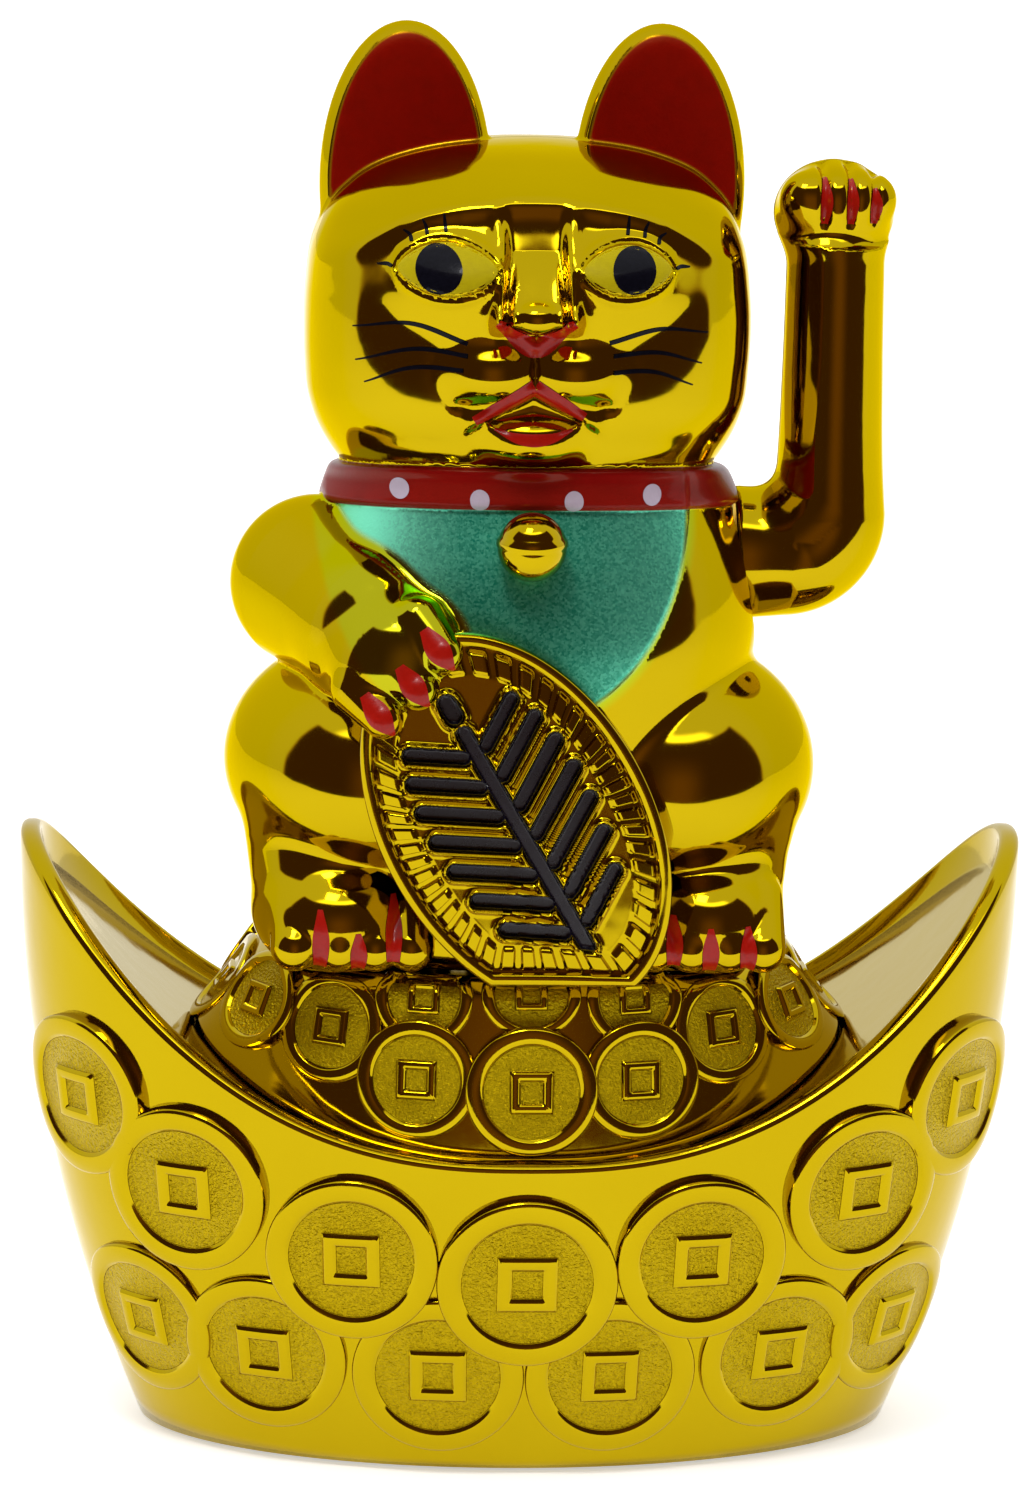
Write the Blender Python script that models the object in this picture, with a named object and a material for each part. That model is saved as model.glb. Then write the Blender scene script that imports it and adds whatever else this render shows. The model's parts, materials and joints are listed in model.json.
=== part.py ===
"""Beckoning cat figurine on an ingot base: a hollow plated cat whose arm waves on a driven pendulum.

Metres, +Z up. The origin is on the table under the middle of the base, the cat faces -Y, and the waving
arm is on the +X side. Run it with: blender --background --python part.py
"""

import math

import bmesh
import bpy
from mathutils import Matrix, Vector

MM = 0.001
GAP = 0.3 * MM  # between pieces that touch or are glued
WALL = 1.6 * MM  # moulded shells

# Ingot base: its plan grows from the foot to the tips, and a saddle surface trims it.
INGOT_FOOT_HALF = (53.5 * MM, 27.8 * MM)
INGOT_TIP_HALF = (70.8 * MM, 38.4 * MM)
INGOT_FOOT_Z = 0.8 * MM
SADDLE_LOW_Z = 47.0 * MM
SADDLE_TIP_Z = 87.0 * MM
SADDLE_POWER = 2.58
FLARE_POWER = 2.1
RIM_WIDTH = 3.0 * MM
DECK_DROP = 1.6 * MM
OPENING_HALF = (42.5 * MM, 27.0 * MM)
PLAN_SQUARENESS = 2.2
INGOT_STATIONS = 48

# Mound of coins between the base and the cat.
MOUND_FOOT_HALF = (46.0 * MM, 31.0 * MM)
MOUND_EDGE_HALF = (38.5 * MM, 29.0 * MM)
MOUND_TOP_HALF = (36.0 * MM, 27.3 * MM)
MOUND_EDGE_Z = 68.5 * MM
MOUND_TOP_Z = 71.0 * MM
MOUND_HOLE_HALF = (5.0 * MM, 4.0 * MM)
MOUND_STATIONS = 32
WIRE_HOLE = (-20.1 * MM, 17.3 * MM)
WIRE_HOLE_RADIUS = 2.6 * MM

# Cat: height, half width on the holding side, half width on the waving side, front and back depth, mm.
CAT_SECTIONS_MM = (
    (71.3, 37.0, 35.5, 28.0, 27.5),
    (78.0, 39.2, 37.6, 29.5, 29.0),
    (86.0, 39.6, 38.4, 31.0, 30.0),
    (92.0, 41.2, 39.8, 32.0, 30.8),
    (98.5, 42.2, 40.6, 32.8, 31.0),
    (106.0, 41.0, 39.2, 33.0, 30.4),
    (111.8, 38.3, 35.4, 32.6, 29.4),
    (113.6, 38.9, 29.2, 32.3, 29.0),
    (120.0, 41.3, 29.2, 31.2, 28.2),
    (126.5, 40.8, 29.2, 29.6, 27.2),
    (131.0, 37.6, 29.0, 28.4, 26.2),
    (135.6, 31.4, 28.2, 27.4, 25.0),
    (140.0, 27.6, 26.8, 26.8, 24.0),
    (143.0, 28.4, 27.4, 27.2, 24.6),
    (149.0, 30.8, 29.4, 30.6, 26.8),
    (157.0, 31.5, 30.2, 32.4, 28.0),
    (164.0, 31.2, 30.0, 31.4, 28.0),
    (171.5, 30.3, 29.0, 27.6, 26.4),
    (177.5, 28.4, 27.4, 23.0, 23.0),
    (181.5, 22.0, 21.4, 16.0, 17.0),
    (183.6, 12.0, 12.0, 8.5, 9.0),
)
CAT_TOP_Z = 184.4 * MM
HALF_SEGMENTS = 14
EAR_CENTRE = (17.6 * MM, 178.0 * MM)
EAR_HALF = (11.9 * MM, 6.5 * MM, 22.2 * MM)
BOSS_RADIUS = 3.4 * MM
BOSS_Y = (-23.4 * MM, 23.2 * MM)
BOSS_TOP_Z = 82.0 * MM

# Waving arm: centre line and half sizes (in the plane of the bend, then along Y), in mm.
ARM_STATIONS_MM = (
    # x, z, lean from +X towards +Z in degrees, half height, half depth
    (30.3, 125.0, 0, 10.8, 9.2),
    (33.5, 125.0, 4, 10.6, 9.1),
    (36.6, 125.6, 22, 10.2, 8.9),
    (39.2, 127.6, 42, 10.2, 8.7),
    (41.2, 131.0, 64, 9.2, 8.3),
    (42.3, 136.0, 84, 7.9, 7.8),
    (42.6, 143.0, 90, 7.3, 7.5),
    (42.6, 152.0, 90, 7.2, 7.3),
    (42.3, 161.5, 90, 6.9, 7.1),
    (42.1, 166.0, 90, 7.1, 7.6),
    (42.0, 170.5, 90, 8.1, 8.4),
    (42.0, 174.5, 90, 8.2, 8.4),
    (42.0, 178.2, 90, 6.2, 6.6),
)
ARM_TOP = (42.0 * MM, 180.6 * MM)
ARM_SEGMENTS = 9

# Movement: the arm's shaft runs along X, and the pendulum hangs from it over the coil.
AXLE_Z = 125.0 * MM
AXLE_RADIUS = 1.0 * MM
AXLE_SPAN_X = (-18.0 * MM, 36.0 * MM)
BEARING_RADIUS = 1.08 * MM
SHOULDER_HOLE_RADIUS = 3.0 * MM
FRAME_PLATE = ((-30.0 * MM, 20.0 * MM), (-14.0 * MM, 14.0 * MM))
FRAME_Z = (71.3 * MM, 73.3 * MM)
UPRIGHT_X = (-12.0 * MM, 12.0 * MM)
UPRIGHT_HALF = (1.0 * MM, 6.0 * MM)
UPRIGHT_TOP_Z = 130.0 * MM
FRAME_SCREWS = ((-22.0 * MM, 0.0), (16.5 * MM, 0.0))
BOARD_SCREWS = ((-22.0 * MM, -8.0 * MM), (-22.0 * MM, 8.0 * MM))
POST_TOP_Z = 76.0 * MM
BOARD_BOX = ((-29.0 * MM, -15.0 * MM), (-11.0 * MM, 11.0 * MM), (76.3 * MM, 77.9 * MM))
BOBBIN_Z = (73.6 * MM, 84.6 * MM)
BOBBIN_FLANGE = (9.0 * MM, 1.2 * MM)
BOBBIN_CORE_RADIUS = 4.0 * MM
MAGNET_RADIUS = 6.0 * MM
MAGNET_Z = (86.7 * MM, 90.2 * MM)
LEVER_HALF = (3.0 * MM, 1.5 * MM)
WEIGHT_BOX = ((-9.0 * MM, 9.0 * MM), (-5.0 * MM, 5.0 * MM), (97.0 * MM, 107.0 * MM))

# Underside: plate, battery bay, door, feet and switch.
PLATE_HALF = (52.0 * MM, 26.1 * MM)
PLATE_Z = (1.8 * MM, 3.8 * MM)
BAY_HALF = (28.2 * MM, 8.2 * MM)
BAY_TOP_Z = 19.4 * MM
BAY_WALL = 1.6 * MM
DOOR_HALF = (27.9 * MM, 7.9 * MM)
DOOR_THICKNESS = 1.6 * MM
DOOR_HINGE_Y = 7.6 * MM
CELL_RADIUS = 7.25 * MM
CELL_Z = 10.95 * MM
CELL_SPAN_X = (-24.1 * MM, 25.4 * MM)
FOOT_PLACE = (30.0 * MM, 15.5 * MM)
FOOT_RADIUS = 4.0 * MM
FOOT_HEIGHT = 1.5 * MM
BASE_SCREW_PLACE = (37.8 * MM, 15.2 * MM)
SWITCH_BOX = ((-47.0 * MM, -35.0 * MM), (-3.0 * MM, 3.0 * MM), (4.1 * MM, 10.0 * MM))
SWITCH_SLOT = ((-44.5 * MM, -37.5 * MM), (-2.0 * MM, 2.0 * MM))
KNOB_BOX = ((-43.9 * MM, -40.9 * MM), (-1.6 * MM, 1.6 * MM), (1.0 * MM, 6.0 * MM))
LEAD_RADIUS = 0.5 * MM

ROUND = 20  # sides of turned pieces


def clear_scene():
    for obj in list(bpy.data.objects):
        bpy.data.objects.remove(obj, do_unlink=True)


def finish(name, colour, roughness, metallic=0.0):
    """A Principled material with one colour."""
    material = bpy.data.materials.new(name)
    material.use_nodes = True
    shader = material.node_tree.nodes["Principled BSDF"]
    shader.inputs["Base Color"].default_value = (*colour, 1.0)
    shader.inputs["Roughness"].default_value = roughness
    shader.inputs["Metallic"].default_value = metallic
    return material


def make_finishes():
    return {
        "gold": finish("gold_plating", (0.86, 0.62, 0.08), 0.12, 1.0),
        "black": finish("black_plastic", (0.03, 0.03, 0.03), 0.5),
        "rubber": finish("foot_rubber", (0.75, 0.74, 0.70), 0.8),
        "steel": finish("plain_steel", (0.62, 0.62, 0.63), 0.3, 1.0),
        "zinc": finish("cast_zinc", (0.45, 0.45, 0.47), 0.5, 1.0),
        "nylon": finish("white_nylon", (0.85, 0.84, 0.80), 0.5),
        "copper": finish("enamelled_copper", (0.70, 0.28, 0.10), 0.3, 1.0),
        "nickel": finish("nickel_plate", (0.72, 0.70, 0.66), 0.2, 1.0),
        "board": finish("board_green", (0.03, 0.22, 0.08), 0.45),
        "cell": finish("cell_wrap", (0.12, 0.14, 0.30), 0.35),
        "red": finish("red_insulation", (0.60, 0.02, 0.02), 0.4),
        "dark": finish("black_insulation", (0.02, 0.02, 0.02), 0.4),
    }


def add_object(name, mesh, material=None, smooth_angle=40):
    mesh.shade_smooth()
    mesh.set_sharp_from_angle(angle=math.radians(smooth_angle))
    obj = bpy.data.objects.new(name, mesh)
    bpy.context.scene.collection.objects.link(obj)
    if material:
        mesh.materials.append(material)
    return obj


def from_faces(name, points, faces, material=None):
    """An object from points and faces, with its normals made to face out."""
    mesh = bpy.data.meshes.new(name)
    mesh.from_pydata(points, [], faces)
    shape = bmesh.new()
    shape.from_mesh(mesh)
    bmesh.ops.recalc_face_normals(shape, faces=shape.faces)
    shape.to_mesh(mesh)
    shape.free()
    return add_object(name, mesh, material)


def helper(obj):
    """Hides an object that only cuts or joins another."""
    obj.hide_render = True
    obj.display_type = "WIRE"
    return obj


def combine(target, tools, operation):
    """Boolean of the target with each tool, on the EXACT solver."""
    for tool in tools:
        helper(tool)
        modifier = target.modifiers.new(f"{operation.lower()}_{tool.name}", "BOOLEAN")
        modifier.operation = operation
        modifier.solver = "EXACT"
        modifier.object = tool
    return target


def block(name, spans, material=None):
    """A box over ((x0, x1), (y0, y1), (z0, z1))."""
    points = [(x, y, z) for x in spans[0] for y in spans[1] for z in spans[2]]
    faces = [(0, 1, 3, 2), (4, 6, 7, 5), (0, 4, 5, 1), (2, 3, 7, 6), (0, 2, 6, 4), (1, 5, 7, 3)]
    return from_faces(name, points, faces, material)


def turned(name, profile, centre, material=None, axis="Z", sides=ROUND):
    """A piece turned about an axis through centre. profile lists (radius, distance along the axis); it is
    closed off at the axis where it starts or ends at radius 0, and joined end to end where it does not."""
    turn = {"Z": Matrix.Identity(3), "X": Matrix.Rotation(math.pi / 2, 3, "Y")}[axis]
    points, rows = [], []
    for radius, along in profile:
        row = []
        for k in range(1 if radius == 0 else sides):
            angle = 2 * math.pi * (k + 0.5) / sides
            spot = Vector((radius * math.cos(angle), radius * math.sin(angle), along))
            row.append(len(points))
            points.append(Vector(centre) + turn @ spot)
        rows.append(row * sides if radius == 0 else row)
    closed = profile[0][0] > 0 and profile[-1][0] > 0
    pairs = list(zip(rows, rows[1:])) + ([(rows[-1], rows[0])] if closed else [])
    faces = []
    for low, high in pairs:
        for k in range(sides):
            n = (k + 1) % sides
            corners = dict.fromkeys((low[k], low[n], high[n], high[k]))
            if len(corners) > 2:
                faces.append(tuple(corners))
    return from_faces(name, points, faces, material)


def rod(name, radius, span, centre=(0, 0, 0), material=None, axis="Z", sides=ROUND):
    profile = ((0, span[0]), (radius, span[0]), (radius, span[1]), (0, span[1]))
    return turned(name, profile, centre, material, axis, sides)


def washer(name, radii, span, centre=(0, 0, 0), material=None, axis="Z"):
    inner, outer = radii
    profile = ((inner, span[0]), (outer, span[0]), (outer, span[1]), (inner, span[1]))
    return turned(name, profile, centre, material, axis)


def screw(name, place, head_z, shank_z, radii, material):
    """A pan-head screw that points up; radii are those of the head and the shank."""
    head, shank = radii
    profile = (
        (0, head_z[0]),
        (0.75 * head, head_z[0]),
        (head, head_z[0] + 0.35 * (head_z[1] - head_z[0])),
        (head, head_z[1]),
        (shank, head_z[1]),
        (shank, shank_z - shank),
        (0, shank_z),
    )
    return turned(name, profile, (*place, 0), material, sides=12)


def wire(name, route_mm, radius, material, samples=3):
    """A tube along a smooth curve through the route's points, which are in mm."""
    points = [Vector(p) * MM for p in route_mm]
    ends = [2 * points[0] - points[1], *points, 2 * points[-1] - points[-2]]
    line = []
    for a, b, c, d in zip(ends, ends[1:], ends[2:], ends[3:]):
        for k in range(samples):
            t = k / samples
            near, far = 2 * b + (c - a) * t, (2 * a - 5 * b + 4 * c - d) * t * t
            line.append((near + far + (3 * b - a - 3 * c + d) * t**3) / 2)
    line.append(points[-1])
    return tube(name, line, radius, material)


def tube(name, line, radius, material, roundness=2):
    curve = bpy.data.curves.new(name, "CURVE")
    curve.dimensions = "3D"
    curve.bevel_depth = radius
    curve.bevel_resolution = roundness
    curve.use_fill_caps = True
    spline = curve.splines.new("POLY")
    spline.points.add(len(line) - 1)
    for spot, place in zip(spline.points, line):
        spot.co = (*place, 1)
    curve.materials.append(material)
    obj = bpy.data.objects.new(name, curve)
    bpy.context.scene.collection.objects.link(obj)
    return obj


def oval(half, angle, squareness=2.0):
    """A point of a rounded plan outline with these half sizes."""
    cos, sin = math.cos(angle), math.sin(angle)
    x = math.copysign(abs(cos) ** (2 / squareness), cos)
    y = math.copysign(abs(sin) ** (2 / squareness), sin)
    return half[0] * x, half[1] * y


def swept_ring(name, stations, section, material):
    """A closed ring: section(angle) gives the closed outline of the wall at each angle round Z."""
    points, size = [], len(section(0.0))
    for k in range(stations):
        points += section(2 * math.pi * k / stations)
    faces = []
    for k in range(stations):
        here, there = k * size, (k + 1) % stations * size
        for i in range(size):
            n = (i + 1) % size
            faces.append((here + i, here + n, there + n, there + i))
    return from_faces(name, points, faces, material)


def half_shell(name, outer, inner, tips, material):
    """Half of a hollow moulding. outer and inner are rows of points from seam to seam, open at the first row
    and closed at the other end on the two tips, the outer one first."""
    width, rows = len(outer[0]), len(outer)
    points = [p for row in outer for p in row] + [p for row in inner for p in row] + list(tips)
    skin = rows * width
    outer_tip, inner_tip = 2 * skin, 2 * skin + 1
    faces = []
    for r in range(rows - 1):
        for k in range(width - 1):
            a = r * width + k
            quad = (a, a + 1, a + width + 1, a + width)
            faces += [quad, tuple(skin + i for i in quad)]
        for k in (0, width - 1):  # the seam
            a = r * width + k
            faces.append((a, a + width, skin + a + width, skin + a))
    last = (rows - 1) * width
    for k in range(width - 1):
        faces.append((last + k, last + k + 1, outer_tip))
        faces.append((skin + last + k, skin + last + k + 1, inner_tip))
        faces.append((k, k + 1, skin + k + 1, skin + k))
    for k in (0, width - 1):
        faces.append((last + k, outer_tip, inner_tip, skin + last + k))
    return from_faces(name, points, faces, material)


# Ingot base


def ingot_half(z):
    """Half sizes of the ingot's plan at height z, and how square it is."""
    rise = 1 - max(0.0, 1 - z / SADDLE_TIP_Z) ** FLARE_POWER
    half = [low + (high - low) * rise for low, high in zip(INGOT_FOOT_HALF, INGOT_TIP_HALF)]
    return half, 2 + (PLAN_SQUARENESS - 2) * rise


def saddle_z(x):
    share = min(1.0, abs(x) / INGOT_TIP_HALF[0])
    return SADDLE_LOW_Z + (SADDLE_TIP_Z - SADDLE_LOW_Z) * share**SADDLE_POWER


def ingot_point(angle, z, inset=0.0):
    half, squareness = ingot_half(z)
    return oval([size - inset for size in half], angle, squareness)


def rim_z(angle):
    """Height at which the wall meets the saddle."""
    z = SADDLE_LOW_Z
    for _ in range(12):
        z = (z + saddle_z(ingot_point(angle, z)[0])) / 2
    return z


def ingot_section(angle):
    top = rim_z(angle)
    wall_shares = (0, 0.14, 0.3, 0.47, 0.65, 0.82)
    outer = []
    for share in wall_shares:
        z = INGOT_FOOT_Z + (top - INGOT_FOOT_Z) * share
        outer.append((*ingot_point(angle, z), z))
    outer.append((*ingot_point(angle, top - 0.8 * MM), top - 0.8 * MM))
    outer.append((*ingot_point(angle, top, 0.5 * MM), top))
    outer.append((*ingot_point(angle, top, 0.6 * RIM_WIDTH), top - 0.1 * MM))
    edge, lip = ingot_point(angle, top, RIM_WIDTH), oval(OPENING_HALF, angle, PLAN_SQUARENESS)
    deck = []
    for share in (0, 0.35, 0.7, 1):
        x, y = (a + (b - a) * share for a, b in zip(edge, lip))
        deck.append((x, y, saddle_z(x) - DECK_DROP))
    under = [(x, y, z - WALL) for x, y, z in reversed(deck[1:])]
    inner = []
    wall_top = deck[0][2] - WALL
    for share in (0.97, 0.75, 0.5, 0.25, 0):
        z = INGOT_FOOT_Z + (wall_top - INGOT_FOOT_Z) * share
        inner.append((*ingot_point(angle, z, WALL), z))
    return outer + deck + under + inner


def make_ingot(finishes):
    shell = swept_ring("ingot_shell", INGOT_STATIONS, ingot_section, finishes["gold"])
    bosses, pilots = [], []
    for corner, (x, y) in enumerate(corners(BASE_SCREW_PLACE)):
        place = (x, y, 0)
        bosses.append(rod(f"base_boss_{corner}", 4.5 * MM, (4.1 * MM, 14 * MM), place, sides=16))
        pilots.append(rod(f"base_pilot_{corner}", 1.4 * MM, (3 * MM, 13 * MM), place, sides=12))
    combine(shell, bosses, "UNION")
    combine(shell, pilots, "DIFFERENCE")


def corners(place):
    return [(place[0] * i, place[1] * j) for i in (-1, 1) for j in (-1, 1)]


# Mound of coins


def mound_section(angle):
    foot = oval(MOUND_FOOT_HALF, angle, PLAN_SQUARENESS)
    foot_z = saddle_z(foot[0]) - DECK_DROP + GAP
    outer, inner = [], []
    for share in (0, 0.35, 0.7, 1):
        half = [a + (b - a) * share**1.3 for a, b in zip(MOUND_FOOT_HALF, MOUND_EDGE_HALF)]
        z = foot_z + (MOUND_EDGE_Z - foot_z) * share
        outer.append((*oval(half, angle, PLAN_SQUARENESS), z))
        lower = z if share == 0 else z - 0.3 * WALL
        inner.append((*oval([size - WALL for size in half], angle, PLAN_SQUARENESS), lower))
    outer.append((*oval(MOUND_TOP_HALF, angle, PLAN_SQUARENESS), MOUND_TOP_Z))
    outer.append((*oval(MOUND_HOLE_HALF, angle), MOUND_TOP_Z))
    under_half = [size - WALL for size in MOUND_TOP_HALF]
    inner.append((*oval(under_half, angle, PLAN_SQUARENESS), MOUND_TOP_Z - WALL))
    inner.append((*oval(MOUND_HOLE_HALF, angle), MOUND_TOP_Z - WALL))
    return outer + inner[::-1]


def make_mound(finishes):
    mound = swept_ring("coin_mound", MOUND_STATIONS, mound_section, finishes["gold"])
    places = [(0.0, y) for y in BOSS_Y] + list(FRAME_SCREWS)
    span = (MOUND_TOP_Z - 3 * WALL, MOUND_TOP_Z + WALL)
    holes = [
        rod(f"mound_hole_{k}", 1.6 * MM, span, (*place, 0), sides=12)
        for k, place in enumerate(places)
    ]
    holes.append(rod("mound_wire_hole", WIRE_HOLE_RADIUS, span, (*WIRE_HOLE, 0), sides=16))
    combine(mound, holes, "DIFFERENCE")


# Cat


def cat_row(section, side, inset):
    """Half a ring of the cat's skin from seam to seam; side is -1 for the front half."""
    z, holding, waving, front, back = (value * MM for value in section)
    depth = (front if side < 0 else back) - inset
    row = []
    for k in range(HALF_SEGMENTS + 1):
        angle = math.pi * k / HALF_SEGMENTS
        x, y = oval((1, 1), angle, 2.15)
        x *= (waving if x > 0 else holding) - inset
        row.append((x, side * (y * depth + GAP / 2), z))
    return row


def make_cat_half(name, side, finishes):
    outer = [cat_row(section, side, 0) for section in CAT_SECTIONS_MM]
    inner = [cat_row(section, side, WALL) for section in CAT_SECTIONS_MM]
    for row in inner[-3:]:
        row[:] = [(x, y, z - 0.9 * WALL) for x, y, z in row]
    tips = [(0, side * GAP / 2, CAT_TOP_Z), (0, side * GAP / 2, CAT_TOP_Z - WALL)]
    shell = half_shell(name, outer, inner, tips, finishes["gold"])
    y = BOSS_Y[0 if side < 0 else 1]
    boss = rod(f"{name}_boss", BOSS_RADIUS, (FRAME_Z[0], BOSS_TOP_Z), (0, y, 0), sides=16)
    ears = [make_ear_half(f"{name}_ear_{k}", x, side) for k, x in enumerate((-1, 1))]
    combine(shell, [boss, *ears], "UNION")
    pilot_span = (FRAME_Z[0] - WALL, BOSS_TOP_Z - 1.5 * MM)
    pilot = rod(f"{name}_pilot", 1.3 * MM, pilot_span, (0, y, 0), sides=12)
    axle_span = (AXLE_SPAN_X[1] - 20 * MM, AXLE_SPAN_X[1])
    hole = rod(f"{name}_hole", SHOULDER_HOLE_RADIUS, axle_span, (0, 0, AXLE_Z), axis="X", sides=16)
    combine(shell, [pilot, hole], "DIFFERENCE")


def make_ear_half(name, side_x, side_y):
    """Half of an ear, cut just clear of the seam plane."""
    shape = bmesh.new()
    bmesh.ops.create_uvsphere(shape, u_segments=16, v_segments=12, radius=1)
    bmesh.ops.scale(shape, verts=shape.verts, vec=EAR_HALF)
    centre = (side_x * EAR_CENTRE[0], 0, EAR_CENTRE[1])
    bmesh.ops.translate(shape, verts=shape.verts, vec=centre)
    every = shape.verts[:] + shape.edges[:] + shape.faces[:]
    cut_place = (0, side_y * GAP, 0)
    bmesh.ops.bisect_plane(
        shape, geom=every, plane_co=cut_place, plane_no=(0, -side_y, 0), clear_outer=True
    )
    bmesh.ops.holes_fill(shape, edges=shape.edges, sides=0)
    bmesh.ops.recalc_face_normals(shape, faces=shape.faces)
    mesh = bpy.data.meshes.new(name)
    shape.to_mesh(mesh)
    shape.free()
    return add_object(name, mesh)


def make_cat(finishes):
    make_cat_half("cat_front_shell", -1, finishes)
    make_cat_half("cat_rear_shell", 1, finishes)
    for name, y in zip(("cat_screw_front", "cat_screw_rear"), BOSS_Y):
        head_z = (MOUND_TOP_Z - WALL - GAP - 1.4 * MM, MOUND_TOP_Z - WALL - GAP)
        screw(name, (0.0, y), head_z, 79 * MM, (2.3 * MM, 1.0 * MM), finishes["steel"])


# Waving arm


def arm_row(station, side, inset):
    x, z, lean, half_height, half_depth = station
    along = math.radians(lean)
    row = []
    for k in range(ARM_SEGMENTS + 1):
        angle = math.pi * k / ARM_SEGMENTS
        across = (half_height * MM - inset) * math.cos(angle)
        depth = (half_depth * MM - inset) * math.sin(angle) + GAP / 2
        row.append((x * MM - across * math.sin(along), side * depth, z * MM + across * math.cos(along)))
    return row


def make_arm(finishes, shaft):
    wall = 1.2 * MM
    for name, side in (("arm_front_shell", -1), ("arm_rear_shell", 1)):
        outer = [arm_row(station, side, 0) for station in ARM_STATIONS_MM]
        inner = [arm_row(station, side, wall) for station in ARM_STATIONS_MM]
        x, z = ARM_TOP
        inner[-1] = [(px, py, pz - 0.8 * wall) for px, py, pz in inner[-1]]
        tips = [(x, side * GAP / 2, z), (x, side * GAP / 2, z - 1.5 * wall)]
        hang(half_shell(name, outer, inner, tips, finishes["gold"]), shaft)
    start = ARM_STATIONS_MM[0][0] * MM + GAP
    bore = AXLE_RADIUS + GAP
    profile = (
        (bore, start),
        (7.2 * MM, start),
        (7.2 * MM, start + 1.6 * MM),
        (3.6 * MM, start + 2.4 * MM),
        (3.2 * MM, start + 6.4 * MM),
        (bore, start + 6.4 * MM),
    )
    hub = turned("arm_hub", profile, (0, 0, AXLE_Z), finishes["nylon"], axis="X")
    hang(hub, shaft)


def hang(obj, parent):
    """Parents obj and leaves it where it is."""
    bpy.context.view_layer.update()
    obj.parent = parent
    obj.matrix_parent_inverse = parent.matrix_world.inverted()
    return obj


def add_empty(name, place):
    empty = bpy.data.objects.new(name, None)
    empty.location = place
    bpy.context.scene.collection.objects.link(empty)
    bpy.context.view_layer.update()
    return empty


# Movement


def make_frame(finishes):
    frame = block("movement_frame", (*FRAME_PLATE, FRAME_Z), finishes["nylon"])
    added = []
    for k, x in enumerate(UPRIGHT_X):
        spans = ((x - UPRIGHT_HALF[0], x + UPRIGHT_HALF[0]), (-UPRIGHT_HALF[1], UPRIGHT_HALF[1]))
        added.append(block(f"upright_{k}", (*spans, (FRAME_Z[0] + 1 * MM, UPRIGHT_TOP_Z))))
    for k, place in enumerate((*FRAME_SCREWS, *BOARD_SCREWS)):
        added.append(rod(f"post_{k}", 2.6 * MM, (FRAME_Z[0] + 1 * MM, POST_TOP_Z), (*place, 0), sides=16))
    combine(frame, added, "UNION")
    cuts = []
    for k, x in enumerate(UPRIGHT_X):
        span = (x - 2 * MM, x + 2 * MM)
        cuts.append(rod(f"bearing_{k}", BEARING_RADIUS, span, (0, 0, AXLE_Z), axis="X"))
    for k, place in enumerate(FRAME_SCREWS):
        cuts.append(rod(f"frame_pilot_{k}", 1.3 * MM, (70 * MM, 75.3 * MM), (*place, 0), sides=12))
    for k, place in enumerate(BOARD_SCREWS):
        cuts.append(rod(f"board_pilot_{k}", 1.0 * MM, (74.2 * MM, 78 * MM), (*place, 0), sides=12))
    combine(frame, cuts, "DIFFERENCE")
    for name, place in zip(("frame_screw_left", "frame_screw_right"), FRAME_SCREWS):
        head_z = (MOUND_TOP_Z - WALL - GAP - 1.4 * MM, MOUND_TOP_Z - WALL - GAP)
        screw(name, place, head_z, 74.9 * MM, (2.3 * MM, 1.0 * MM), finishes["steel"])


def make_coil(finishes):
    radius, thick = BOBBIN_FLANGE
    low, high = BOBBIN_Z
    hole = 1.5 * MM
    profile = (
        (hole, low),
        (radius, low),
        (radius, low + thick),
        (BOBBIN_CORE_RADIUS, low + thick),
        (BOBBIN_CORE_RADIUS, high - thick),
        (radius, high - thick),
        (radius, high),
        (hole, high),
    )
    turned("coil_bobbin", profile, (0, 0, 0), finishes["nylon"])
    radii = (BOBBIN_CORE_RADIUS + GAP, radius - 0.4 * MM)
    washer("coil_winding", radii, (low + thick + GAP, high - thick - GAP), material=finishes["copper"])


def make_board(finishes):
    board = block("circuit_board", BOARD_BOX, finishes["board"])
    holes = [
        rod(f"board_hole_{k}", 1.1 * MM, (75 * MM, 79 * MM), (*place, 0), sides=12)
        for k, place in enumerate(BOARD_SCREWS)
    ]
    combine(board, holes, "DIFFERENCE")
    top = BOARD_BOX[2][1] + GAP
    for name, place in zip(("board_screw_front", "board_screw_rear"), BOARD_SCREWS):
        profile = ((0, 74.6 * MM), (0.7 * MM, 75.2 * MM), (0.7 * MM, top), (1.8 * MM, top))
        profile += ((1.8 * MM, top + 0.7 * MM), (1.2 * MM, top + 1.2 * MM), (0, top + 1.2 * MM))
        turned(name, profile, (*place, 0), finishes["steel"], sides=12)
    can = ((0, top), (2.5 * MM, top), (2.5 * MM, top + 7.6 * MM), (2.1 * MM, top + 8 * MM))
    turned("electrolytic_capacitor", (*can, (0, top + 8 * MM)), (-25 * MM, 0, 0), finishes["dark"])
    body = rod("drive_transistor", 2.4 * MM, (top, top + 4.6 * MM), (-18.2 * MM, 0, 0), finishes["dark"])
    flat = block("transistor_flat", ((-17 * MM, -14 * MM), (-4 * MM, 4 * MM), (top - GAP, top + 6 * MM)))
    combine(body, [flat], "DIFFERENCE")


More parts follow.
